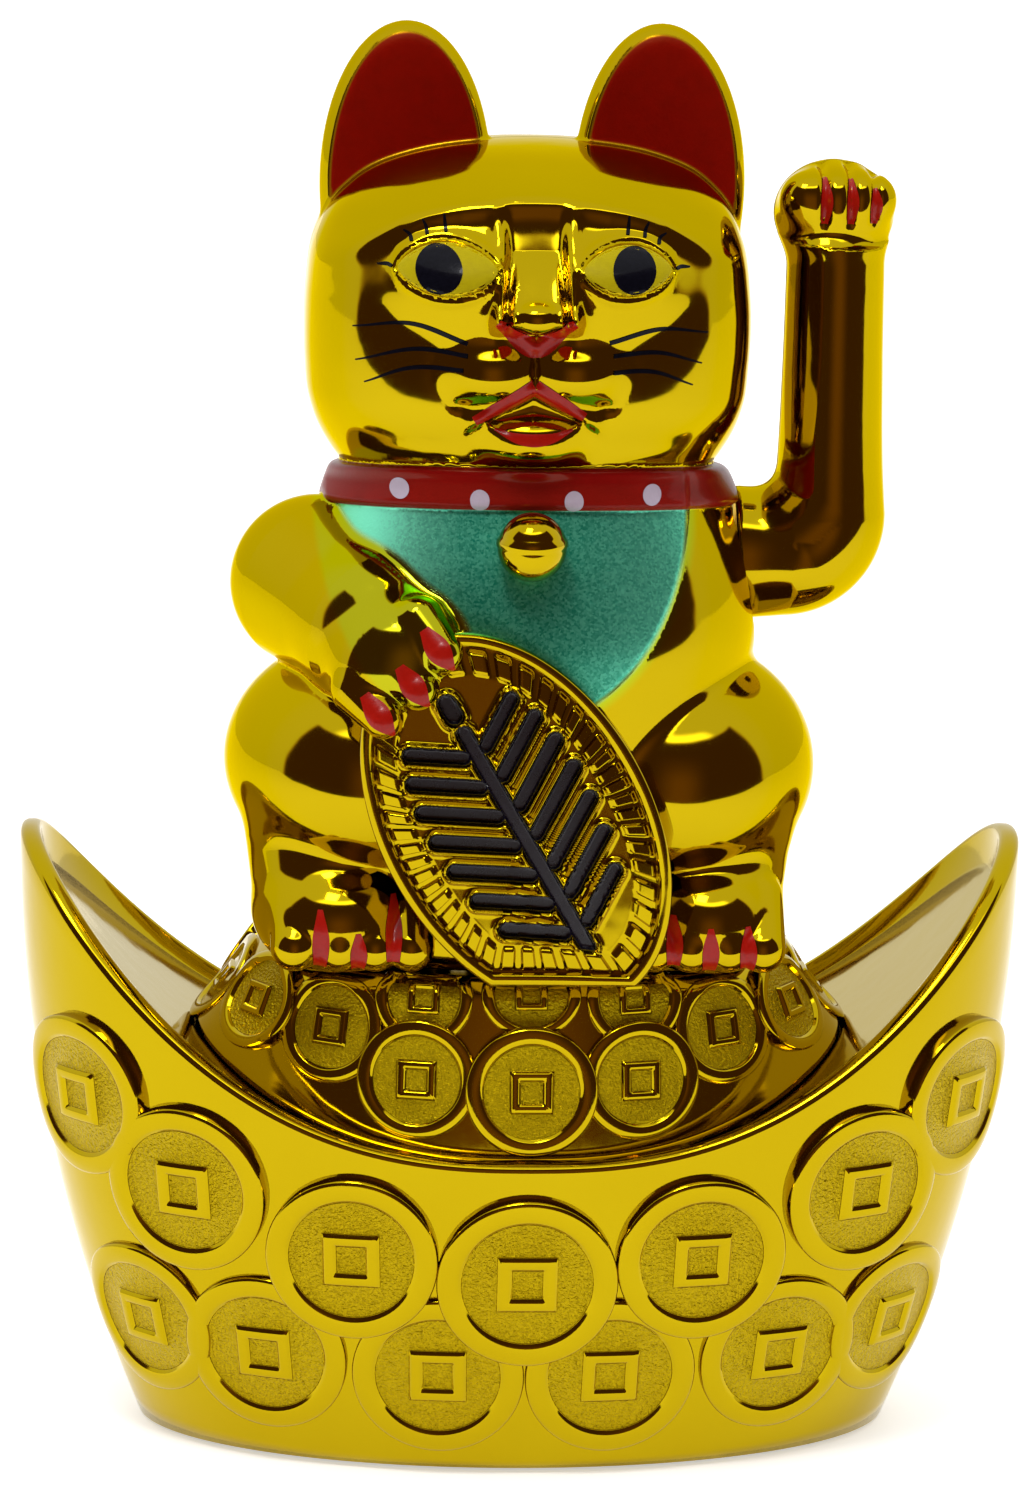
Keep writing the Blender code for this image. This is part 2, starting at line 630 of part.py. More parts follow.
def make_shaft(finishes, shaft):
    centre = (0, 0, AXLE_Z)
    hang(rod("arm_axle", AXLE_RADIUS, AXLE_SPAN_X, centre, finishes["steel"], "X"), shaft)
    bore = AXLE_RADIUS + GAP
    left = UPRIGHT_X[0] - UPRIGHT_HALF[0] - 0.4 * MM
    right = UPRIGHT_X[1] + UPRIGHT_HALF[0] + 0.3 * MM
    collar = washer("axle_collar", (bore, 3 * MM), (left - 2 * MM, left), centre, finishes["nickel"], "X")
    ends = (right, right + 0.8 * MM)
    spacer = washer("axle_washer", (bore, 2.8 * MM), ends, centre, finishes["nylon"], "X")
    hang(collar, shaft)
    hang(spacer, shaft)


def make_pendulum(finishes, shaft):
    centre = (0, 0, AXLE_Z)
    lever = rod("pendulum_lever", 4 * MM, (-4 * MM, 4 * MM), centre, finishes["nylon"], "X")
    cup_low = MAGNET_Z[1] + GAP
    wide, thick = LEVER_HALF
    bar = block("lever_bar", ((-wide, wide), (-thick, thick), (cup_low + 1 * MM, AXLE_Z - 2 * MM)))
    cup = rod("lever_cup", MAGNET_RADIUS + 1.2 * MM, (cup_low, cup_low + 2.4 * MM))
    combine(lever, [bar, cup], "UNION")
    bore = rod("lever_bore", AXLE_RADIUS + GAP, (-6 * MM, 6 * MM), centre, axis="X")
    combine(lever, [bore], "DIFFERENCE")
    hang(lever, shaft)
    hang(rod("pendulum_magnet", MAGNET_RADIUS, MAGNET_Z, material=finishes["nickel"]), shaft)
    weight = block("counterweight", WEIGHT_BOX, finishes["zinc"])
    low, high = WEIGHT_BOX[2]
    spans = ((-wide - GAP, wide + GAP), (-thick - GAP, thick + GAP), (low - MM, high + MM))
    combine(weight, [block("weight_slot", spans)], "DIFFERENCE")
    hang(weight, shaft)


# Underside


def make_base_plate(finishes):
    low, high = PLATE_Z
    points, size = [], 48
    for z in (low, high):
        points += [(*oval(PLATE_HALF, 2 * math.pi * k / size), z) for k in range(size)]
    sides = [(k, (k + 1) % size, size + (k + 1) % size, size + k) for k in range(size)]
    faces = [tuple(range(size)), tuple(range(size, 2 * size)), *sides]
    plate = from_faces("base_plate", points, faces, finishes["black"])
    x, y = (half + BAY_WALL for half in BAY_HALF)
    combine(plate, [block("bay_outside", ((-x, x), (-y, y), (low + MM, BAY_TOP_Z + BAY_WALL)))], "UNION")
    x, y = BAY_HALF
    cuts = [block("bay_inside", ((-x, x), (-y, y), (0, BAY_TOP_Z)))]
    slot = 2 * MM
    for k, (x0, x1) in enumerate(((-28.2, -26.8), (26.8, 28.2))):
        spans = ((x0 * MM, x1 * MM), (-slot, slot), (BAY_TOP_Z - MM, BAY_TOP_Z + 2 * BAY_WALL))
        cuts.append(block(f"tab_slot_{k}", spans))
    cuts.append(block("switch_window", (*SWITCH_SLOT, (low - MM, high + MM))))
    for k, place in enumerate(corners(BASE_SCREW_PLACE)):
        cuts.append(rod(f"plate_hole_{k}", 1.5 * MM, (low - MM, high + MM), (*place, 0), sides=12))
    combine(plate, cuts, "DIFFERENCE")


def make_feet_and_screws(finishes):
    names = ("left_rear", "left_front", "right_rear", "right_front")
    signs = ((-1, 1), (-1, -1), (1, 1), (1, -1))
    for name, (i, j) in zip(names, signs):
        foot = (i * FOOT_PLACE[0], j * FOOT_PLACE[1], 0)
        rim = FOOT_RADIUS - 0.5 * MM
        profile = ((0, 0), (rim, 0), (FOOT_RADIUS, 0.5 * MM), (FOOT_RADIUS, FOOT_HEIGHT), (0, FOOT_HEIGHT))
        turned(f"foot_{name}", profile, foot, finishes["rubber"])
        place = (i * BASE_SCREW_PLACE[0], j * BASE_SCREW_PLACE[1])
        head_z = (0.3 * MM, PLATE_Z[0] - GAP)
        screw(f"base_screw_{name}", place, head_z, 11 * MM, (2.2 * MM, 1.1 * MM), finishes["steel"])


def make_door(finishes):
    """The battery door; it turns about its hinge edge, on which its origin lies."""
    hinge = add_empty("door_hinge", (0, DOOR_HINGE_Y, PLATE_Z[0]))
    x, y = DOOR_HALF
    top = PLATE_Z[0] + DOOR_THICKNESS
    door = block("battery_door", ((-x, x), (-y, y), (PLATE_Z[0], top)), finishes["black"])
    lip = block("door_lip", ((-6 * MM, 6 * MM), (-y, -y + MM), (top - 0.8 * MM, top + 0.8 * MM)))
    combine(door, [lip], "UNION")
    nick = block("door_nick", ((-5 * MM, 5 * MM), (-6.4 * MM, -4.6 * MM), (0, PLATE_Z[0] + 0.6 * MM)))
    combine(door, [nick], "DIFFERENCE")
    hang(door, hinge)


def make_battery(finishes):
    start, end = CELL_SPAN_X
    nub = 2.75 * MM
    profile = (
        (0, start),
        (CELL_RADIUS - 0.6 * MM, start),
        (CELL_RADIUS, start + 0.6 * MM),
        (CELL_RADIUS, end - 0.6 * MM),
        (CELL_RADIUS - 0.6 * MM, end),
        (nub, end),
        (nub, end + 1.2 * MM),
        (0, end + 1.2 * MM),
    )
    turned("battery_cell", profile, (0, 0, CELL_Z), finishes["cell"], axis="X")
    for name, x0 in (("contact_plate_positive", 26.95), ("contact_plate_negative", -27.55)):
        span = (x0 * MM, (x0 + 0.6) * MM)
        plate = block(name, (span, (-5 * MM, 5 * MM), (4.6 * MM, 17.4 * MM)), finishes["nickel"])
        tab = block(f"{name}_tab", (span, (-1.5 * MM, 1.5 * MM), (16 * MM, 22.6 * MM)))
        combine(plate, [tab], "UNION")
    turns, steps, thick = 3, 12, 0.3 * MM
    first, last = -26.95 * MM + GAP + thick, start - GAP - thick
    line = []
    for k in range(turns * steps + 1):
        share, angle = k / (turns * steps), 2 * math.pi * k / steps
        radius = (4.2 - 1.8 * share) * MM
        place = (radius * math.cos(angle), CELL_Z + radius * math.sin(angle))
        line.append((first + (last - first) * share, *place))
    tube("contact_spring", line, thick, finishes["nickel"], roundness=1)


def make_switch(finishes):
    """The slide switch and its knob, whose parent stands where the knob starts."""
    low, high = SWITCH_BOX[2]
    body = block("switch_body", SWITCH_BOX, finishes["black"])
    combine(body, [block("switch_well", (*SWITCH_SLOT, (low - MM, low + 2.4 * MM)))], "DIFFERENCE")
    travel = add_empty("switch_travel", (sum(KNOB_BOX[0]) / 2, 0, KNOB_BOX[2][0]))
    hang(block("switch_knob", KNOB_BOX, finishes["nylon"]), travel)


def make_leads(finishes):
    x, y = (value / MM for value in WIRE_HOLE)
    red = ((27.3, 0, 23.5), (25, 3, 29), (8, 12, 44), (-11, 16, 59), (x + 0.9, y, 67))
    red += ((x + 0.9, y, 74), (x + 1.2, 14.6, 79.6), (x + 1.4, 10.4, 78.9))
    black = ((-27.3, 0, 23.5), (-27, 4, 29), (-25, 12, 43), (-22, 16, 57), (x - 0.9, y, 67))
    black += ((x - 0.9, y, 74), (x - 2.6, 14.6, 79.6), (x - 5.2, 10.4, 78.9))
    wire("lead_red", red, LEAD_RADIUS, finishes["red"])
    wire("lead_black", black, LEAD_RADIUS, finishes["dark"])


def main():
    clear_scene()
    finishes = make_finishes()
    make_ingot(finishes)
    make_mound(finishes)
    make_cat(finishes)
    shaft = add_empty("arm_shaft", (0, 0, AXLE_Z))
    make_arm(finishes, shaft)
    make_frame(finishes)
    make_coil(finishes)
    make_board(finishes)
    make_shaft(finishes, shaft)
    make_pendulum(finishes, shaft)
    make_base_plate(finishes)
    make_feet_and_screws(finishes)
    make_door(finishes)
    make_battery(finishes)
    make_switch(finishes)
    make_leads(finishes)


main()
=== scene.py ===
"""Looks of a gold beckoning cat on a boat-shaped ingot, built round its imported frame."""

from __future__ import annotations

import json
import logging
import math
from dataclasses import dataclass
from enum import Enum
from typing import Any, Callable, Sequence

import bmesh
import bpy
import numpy as np
from mathutils import Matrix, Vector

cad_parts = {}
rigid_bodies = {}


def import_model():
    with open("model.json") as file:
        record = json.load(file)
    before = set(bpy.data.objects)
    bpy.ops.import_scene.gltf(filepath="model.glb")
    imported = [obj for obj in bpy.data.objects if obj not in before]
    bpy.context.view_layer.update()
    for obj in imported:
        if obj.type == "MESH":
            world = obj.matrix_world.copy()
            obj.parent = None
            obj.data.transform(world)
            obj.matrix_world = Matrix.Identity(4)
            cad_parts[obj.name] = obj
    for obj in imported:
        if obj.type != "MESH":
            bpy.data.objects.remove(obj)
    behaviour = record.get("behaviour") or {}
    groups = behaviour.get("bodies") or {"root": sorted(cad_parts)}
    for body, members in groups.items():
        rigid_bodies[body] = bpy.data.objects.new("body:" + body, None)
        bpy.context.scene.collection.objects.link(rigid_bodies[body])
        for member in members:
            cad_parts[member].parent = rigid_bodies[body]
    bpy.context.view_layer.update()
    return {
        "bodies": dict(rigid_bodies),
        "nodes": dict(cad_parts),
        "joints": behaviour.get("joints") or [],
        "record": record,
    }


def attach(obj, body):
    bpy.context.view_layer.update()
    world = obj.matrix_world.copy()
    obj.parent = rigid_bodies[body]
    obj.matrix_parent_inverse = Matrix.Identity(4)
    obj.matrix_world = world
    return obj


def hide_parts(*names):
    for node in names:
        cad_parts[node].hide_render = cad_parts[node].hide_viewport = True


Array = np.ndarray
Field = Callable[[Array], Array]
Shape = tuple[Array, list[tuple[int, ...]]]  # points and faces
Colour = tuple[float, float, float]
Value = "Signal | float | Sequence[float]"
log = logging.getLogger("beckoning_cat")

MM = 0.001  # the shapes below are worked out in millimetres
WALL = 1.6  # thickness of the plated mouldings
SEAM_HALF = 0.15  # half of the gap between two halves
CHAMFER_FROM = 0.75  # how far from the seam its chamfer starts
CHAMFER_DEPTH = 0.3
NOWHERE = 99.0  # a distance beyond every shape
FACE_X = -0.9  # the face sits a little towards the holding arm
LID_POWER = 0.72  # how pointed the corners of the eyes are


# ---------------------------------------------------------------- shape maths


def smooth_min(a: Array, b: Array, blend: float) -> Array:
    """Union of two distances with a fillet.

    Args:
        a: First distances.
        b: Second distances.
        blend: Width of the fillet, in mm.

    Returns:
        The joined distances.
    """
    share = np.clip(0.5 + 0.5 * (b - a) / blend, 0.0, 1.0)
    return b + (a - b) * share - blend * share * (1.0 - share)


def smooth_max(a: Array, b: Array, blend: float) -> Array:
    """Cut of two distances with a rounded edge of width blend."""
    return -smooth_min(-a, -b, blend)


def ramp(low: float, high: float, value: Array) -> Array:
    """Goes smoothly from 0 at low to 1 at high."""
    t = np.clip((value - low) / (high - low), 0.0, 1.0)
    return t * t * (3.0 - 2.0 * t)


def bump_at(p: Array, x: float, z: float, wide: float, tall: float) -> Array:
    """A soft bump of height 1 over the front, centred at (x, z)."""
    return np.exp(-(((p[:, 0] - x) / wide) ** 2) - ((p[:, 2] - z) / tall) ** 2)


def round_distance(q: Array, half: Sequence[float]) -> Array:
    """Distance to an ellipse or an ellipsoid about the origin.

    Args:
        q: Points, with as many columns as there are half sizes.
        half: The half sizes.

    Returns:
        Signed distances, negative inside.
    """
    share = q / np.asarray(half)
    reach = np.linalg.norm(share, axis=1) + 1e-9
    slope = np.linalg.norm(share / np.asarray(half), axis=1) + 1e-9
    return reach * (reach - 1.0) / slope


def ellipsoid(p: Array, centre: Sequence[float], half: Sequence[float], lean: float = 0.0) -> Array:
    """Distance to an ellipsoid.

    Args:
        p: Points, one a row.
        centre: Its middle.
        half: Its half sizes.
        lean: Degrees that it leans about Y, towards +X.

    Returns:
        Signed distances, negative inside.
    """
    q = p - np.asarray(centre)
    if lean:
        cos, sin = math.cos(math.radians(lean)), math.sin(math.radians(lean))
        q = np.stack([q[:, 0] * cos - q[:, 2] * sin, q[:, 1], q[:, 0] * sin + q[:, 2] * cos], 1)
    return round_distance(q, half)


def capsule(p: Array, a: Sequence[float], b: Sequence[float], radii: tuple[float, float]) -> Array:
    """Distance to a rounded bar from a to b whose radius runs from radii[0] to radii[1].

    Args:
        p: Points in mm, one a row.
        a: One end.
        b: The other end.
        radii: Radius at each end.

    Returns:
        Signed distances, negative inside.
    """
    start, line = np.asarray(a, float), np.asarray(b, float) - np.asarray(a, float)
    t = np.clip((p - start) @ line / (line @ line), 0.0, 1.0)
    away = np.linalg.norm(p - start - t[:, None] * line, axis=1)
    return away - (radii[0] + (radii[1] - radii[0]) * t)


def capsule_2d(u: Array, w: Array, a: tuple[float, float], b: tuple[float, float], radius: float) -> Array:
    """Distance in a plane to a rounded bar from a to b.

    Args:
        u: Places across the plane.
        w: Places along it.
        a: One end.
        b: The other end.
        radius: Its radius.

    Returns:
        Signed distances, negative inside.
    """
    du, dw = b[0] - a[0], b[1] - a[1]
    t = np.clip(((u - a[0]) * du + (w - a[1]) * dw) / (du * du + dw * dw), 0.0, 1.0)
    return np.hypot(u - a[0] - t * du, w - a[1] - t * dw) - radius


def through(stations: Array, at: Array) -> Array:
    """Smooth values through stations.

    Args:
        stations: Rows of (place, value, value, ...), in order of place.
        at: Where to read them.

    Returns:
        One column for each value.
    """
    place, values = stations[:, 0], stations[:, 1:]
    slope = np.gradient(values, place, axis=0)
    k = np.clip(np.searchsorted(place, at) - 1, 0, len(place) - 2)
    span = place[k + 1] - place[k]
    t = np.clip((at - place[k]) / span, 0.0, 1.0)[:, None]
    span = span[:, None]
    return (
        values[k] * (1 + 2 * t) * (1 - t) ** 2
        + slope[k] * span * t * (1 - t) ** 2
        + values[k + 1] * t * t * (3 - 2 * t)
        + slope[k + 1] * span * t * t * (t - 1)
    )


def gradient(field: Field, p: Array, reach: float = 0.06) -> Array:
    """Slope of a field at each point, from differences of reach mm each way.

    Args:
        field: The signed distance.
        p: Points in mm, one a row.
        reach: Step of the differences, in mm.

    Returns:
        The slopes, one a row.
    """
    slope = np.empty_like(p)
    for axis in range(3):
        step = np.zeros(3)
        step[axis] = reach
        slope[:, axis] = (field(p + step) - field(p - step)) / (2 * reach)
    return slope


def settle(field: Field, p: Array, rounds: int = 3, most: float = 0.5) -> Array:
    """Moves points onto the surface where field is 0.

    Args:
        field: The signed distance.
        p: Points near the surface.
        rounds: Newton steps.
        most: Longest step, in mm.

    Returns:
        The moved points.
    """
    for _ in range(rounds):
        slope = gradient(field, p)
        step = field(p)[:, None] * slope / np.maximum((slope**2).sum(1), 0.05)[:, None]
        length = np.linalg.norm(step, axis=1, keepdims=True)
        p = p - step * np.minimum(1.0, most / np.maximum(length, 1e-9))
    return p


def unit(vectors: Array) -> Array:
    """Each row at length 1."""
    return vectors / np.maximum(np.linalg.norm(vectors, axis=1, keepdims=True), 1e-9)


def drop_on(field: Field, x: Array, z: Array, start: float = -46.0, towards: float = 1.0) -> Array:
    """Points of the surface seen along Y.

    Args:
        field: The signed distance.
        x: Their X.
        z: Their Z.
        start: Y outside the shape to start from.
        towards: 1 to travel along +Y, or -1.

    Returns:
        Points on the surface, one a row.
    """
    p = np.stack([x, np.full_like(x, start), z], 1)
    for _ in range(60):
        p[:, 1] += towards * np.clip(0.7 * field(p), -1.0, 3.0)
    return p


def sampled(field: Field, low: Array, counts: Array, step: float, stride: int = 4) -> Array:
    """Values of a field on a grid, worked out closely only near its surface.

    Args:
        field: The signed distance.
        low: Lowest corner.
        counts: Blocks of the grid each way.
        step: Grid step, in mm.
        stride: Steps to a block.

    Returns:
        A 3-D array of values.
    """
    block = step * stride
    axes = [low[k] + block * np.arange(counts[k] + 1) for k in range(3)]
    coarse = field(np.stack(np.meshgrid(*axes, indexing="ij"), -1).reshape(-1, 3))
    coarse = coarse.reshape([n + 1 for n in counts])
    corners = [coarse[i: counts[0] + i, j: counts[1] + j, k: counts[2] + k]
               for i in (0, 1) for j in (0, 1) for k in (0, 1)]
    nearest = np.min(np.abs(corners), axis=0)
    fine = corners[0]
    for axis in range(3):
        fine = np.repeat(fine, stride, axis=axis)
    near = np.argwhere(nearest < 1.2 * block + 1.4)
    offsets = np.stack(np.meshgrid(*[np.arange(stride)] * 3, indexing="ij"), -1).reshape(-1, 3)
    for part in np.array_split(near, max(1, len(near) // 6000)):
        at = (part[:, None] * stride + offsets[None]).reshape(-1, 3)
        fine[at[:, 0], at[:, 1], at[:, 2]] = field(low + step * at)
    return fine


@dataclass
class Skin:
    """A surface in mm: its points and its faces."""

    points: Array
    faces: Array


def skin_of(field: Field, low: Sequence[float], high: Sequence[float], step: float) -> Skin:
    """The surface where a field is 0, as a net of quads.

    Args:
        field: The signed distance.
        low: Lowest corner of the space to look in.
        high: Highest corner.
        step: Size of the net, in mm.

    Returns:
        The net, with its points on the surface.
    """
    start = np.asarray(low, float)
    counts = np.ceil((np.asarray(high) - start) / (4 * step)).astype(int)
    values = sampled(field, start, counts, step)
    inside = values < 0
    sizes = [n - 1 for n in values.shape]
    total = np.zeros(sizes, np.int8)
    for i in (0, 1):
        for j in (0, 1):
            for k in (0, 1):
                total += inside[i: sizes[0] + i, j: sizes[1] + j, k: sizes[2] + k]
    cells = np.argwhere((total > 0) & (total < 8))
    index = np.full(sizes, -1)
    index[tuple(cells.T)] = np.arange(len(cells))
    places, count = np.zeros((len(cells), 3)), np.zeros(len(cells))
    for axis in range(3):
        for i in (0, 1):
            for j in (0, 1):
                first = np.zeros(3, int)
                first[(axis + 1) % 3], first[(axis + 2) % 3] = i, j
                second = first.copy()
                second[axis] = 1
                a, b = values[tuple((cells + first).T)], values[tuple((cells + second).T)]
                cross = (a < 0) != (b < 0)
                t = np.where(cross, a / np.where(cross, a - b, 1.0), 0.0)
                places += np.where(cross[:, None], cells + first + t[:, None] * (second - first), 0.0)
                count += cross
    quads = []
    for axis in range(3):
        one, two = np.eye(3, dtype=int)[(axis + 1) % 3], np.eye(3, dtype=int)[(axis + 2) % 3]
        along = np.eye(3, dtype=int)[axis]
        span = np.array(sizes) - along
        here = inside[: span[0], : span[1], : span[2]]
        there = inside[tuple(slice(start, start + count) for start, count in zip(along, span))]
        at = np.argwhere(here != there)
        at = at[(at[:, (axis + 1) % 3] > 0) & (at[:, (axis + 2) % 3] > 0)]
        ring = [index[tuple(c.T)] for c in (at, at - one, at - one - two, at - two)]
        quad = np.stack(ring, 1)
        turned = ~inside[tuple(at.T)]
        quad[turned] = quad[turned][:, ::-1]
        quads.append(quad)
    faces = np.concatenate(quads)
    faces = faces[(faces >= 0).all(1)]
    points = start + step * places / count[:, None]
    return Skin(settle(field, points), faces)


# ------------------------------------------------------------- Blender meshes


def make_object(name: str, points: Array, faces: Sequence[Sequence[int]]) -> bpy.types.Object:
    """A smooth-shaded object from points in mm.

    Args:
        name: Its name.
        points: Its points in mm, one a row.
        faces: Corners of each face.

    Returns:
        The object.
    """
    mesh = bpy.data.meshes.new(name)
    mesh.from_pydata((np.asarray(points) * MM).tolist(), [], [tuple(map(int, f)) for f in faces])
    mesh.shade_smooth()
    obj = bpy.data.objects.new(name, mesh)
    bpy.context.scene.collection.objects.link(obj)
    return obj


def points_of(obj: bpy.types.Object) -> Array:
    """An object's points in mm.

    Args:
        obj: The object.

    Returns:
        The points, one a row.
    """
    flat = np.empty(len(obj.data.vertices) * 3, np.float32)
    obj.data.vertices.foreach_get("co", flat)
    return flat.reshape(-1, 3).astype(float) / MM


def write_mask(obj: bpy.types.Object, name: str, values: Array) -> None:
    """Stores one number a point, for the object's material to read."""
    mask = obj.data.attributes.new(name, "FLOAT", "POINT")
    mask.data.foreach_set("value", np.asarray(values, np.float32))


def use_normals(obj: bpy.types.Object, normals: Array, flat_faces: Array | None = None) -> None:
    """Shades an object with the true normals of its shape.

    Args:
        obj: The object.
        normals: One normal a point.
        flat_faces: Faces to shade flat instead, as a mask over the faces.
    """
    mesh = obj.data
    corner = np.empty(len(mesh.loops), np.int32)
    mesh.loops.foreach_get("vertex_index", corner)
    chosen = normals[corner].astype(np.float32)
    if flat_faces is not None and flat_faces.any():
        sizes = np.empty(len(mesh.polygons), np.int32)
        mesh.polygons.foreach_get("loop_total", sizes)
        facing = np.empty(len(mesh.polygons) * 3, np.float32)
        mesh.polygons.foreach_get("normal", facing)
        flat = np.repeat(flat_faces, sizes)
        chosen[flat] = np.repeat(facing.reshape(-1, 3), sizes, axis=0)[flat]
    mesh.normals_split_custom_set(chosen.tolist())


def outward(obj: bpy.types.Object) -> None:
    """Turns all faces of a closed mesh to face out.

    Args:
        obj: The object.
    """
    shape = bmesh.new()
    shape.from_mesh(obj.data)
    bmesh.ops.recalc_face_normals(shape, faces=shape.faces)
    shape.to_mesh(obj.data)
    shape.free()


def ring_quads(low: int, high: int, count: int, flip: bool = False) -> list[tuple[int, ...]]:
    """Faces between two rings of points.

    Args:
        low: First point of one ring.
        high: First point of the next.
        count: Points in each.
        flip: Turns the faces over.

    Returns:
        The faces.
    """
    quads = [(low + k, high + k, high + (k + 1) % count, low + (k + 1) % count) for k in range(count)]
    return [(a, d, c, b) for a, b, c, d in quads] if flip else quads


def join_shapes(shapes: Sequence[Shape]) -> Shape:
    """Joins points and faces of several shapes.

    Args:
        shapes: The shapes.

    Returns:
        All points, and all faces counted over them.
    """
    faces, start = [], 0
    for spots, corners in shapes:
        faces += [tuple(start + corner for corner in face) for face in corners]
        start += len(spots)
    return np.concatenate([spots for spots, _ in shapes]), faces


def plated(obj: bpy.types.Object, material: bpy.types.Material, body: str = "base",
           node: str = "") -> bpy.types.Object:
    """Finishes a piece of the gold-plated mouldings.

    Args:
        obj: The piece.
        material: Its finish.
        body: The body that it rides on.
        node: The CAD node that it takes the place of, if any.

    Returns:
        The same piece.
    """
    obj.data.materials.append(material)
    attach(obj, body)
    if node:
        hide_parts(node)
    return obj


def half_of(name: str, skin: Skin, field: Field, side: float) -> bpy.types.Object:
    """One half of a hollow moulding, cut at the seam plane y = 0.

    Args:
        name: Name of the piece.
        skin: The whole outer surface.
        field: Its signed distance.
        side: -1 for the front half, 1 for the rear one.

    Returns:
        The object, with a small chamfer along the seam and a lip as thick as the wall.
    """
    keep = (skin.points[skin.faces][:, :, 1] * side > -1.5).any(1)
    used, faces = np.unique(skin.faces[keep], return_inverse=True)
    obj = make_object(name, skin.points[used], faces.reshape(-1, 4))
    shape = bmesh.new()
    shape.from_mesh(obj.data)
    for place, clear in ((SEAM_HALF, True), (CHAMFER_FROM, False)):
        parts = shape.verts[:] + shape.edges[:] + shape.faces[:]
        bmesh.ops.bisect_plane(shape, geom=parts, dist=1e-7, plane_co=(0, side * place * MM, 0),
                               plane_no=(0, -side, 0), clear_outer=clear)
    rim = [e for e in shape.edges if e.is_boundary]
    spots = list({v for e in rim for v in e.verts})
    slope = gradient(field, np.array([v.co for v in spots]) / MM)
    slope[:, 1] = 0.0
    slope = unit(slope)
    for spot, out in zip(spots, slope):
        spot.co -= Vector(out * CHAMFER_DEPTH * MM)
    inner = {v: shape.verts.new(v.co - Vector(out * WALL * MM)) for v, out in zip(spots, slope)}
    lips = []
    for edge in rim:
        loop = edge.link_loops[0]
        a, b = loop.vert, loop.link_loop_next.vert
        lips.append(shape.faces.new((b, a, inner[a], inner[b])))
    shape.faces.ensure_lookup_table()
    flags = np.zeros(len(shape.faces), bool)
    shape.faces.index_update()
    flags[[f.index for f in lips]] = True
    shape.to_mesh(obj.data)
    shape.free()
    obj.data.shade_smooth()
    use_normals(obj, unit(gradient(field, points_of(obj))), flags)
    return obj


# -------------------------------------------------------------- shader trees


class Signal:
    """A socket that takes part in sums: number expressions on it add Math nodes."""

    def __init__(self, shop: "Shader", socket: bpy.types.NodeSocket) -> None:
        """Wraps a socket of the shader's tree."""
        self.shop, self.socket = shop, socket

    def _math(self, operation: str, *values: "Signal | float") -> "Signal":
        """Adds one Math node on these values."""
        return self.shop.node("ShaderNodeMath", {"operation": operation}, dict(enumerate(values)))

    def __add__(self, other: "Signal | float") -> "Signal":
        """Sum."""
        return self._math("ADD", self, other)

    def __mul__(self, other: "Signal | float") -> "Signal":
        """Product."""
        return self._math("MULTIPLY", self, other)

    def __sub__(self, other: "Signal | float") -> "Signal":
        """Difference."""
        return self._math("SUBTRACT", self, other)

    def __rsub__(self, other: float) -> "Signal":
        """Difference from a number."""
        return self._math("SUBTRACT", other, self)

    def __abs__(self) -> "Signal":
        """Size without its sign."""
        return self._math("ABSOLUTE", self)

    __radd__, __rmul__ = __add__, __mul__

    def step(self, low: float, high: float) -> "Signal":
        """0 below low and 1 above high, with a smooth change between."""
        ends = {"Value": self, "From Min": low, "From Max": high}
        return self.shop.node("ShaderNodeMapRange", {"interpolation_type": "SMOOTHSTEP"}, ends)

    def spread(self, low: float, high: float) -> "Signal":
        """Takes a value of 0 to 1 to low to high."""
        return self * (high - low) + low


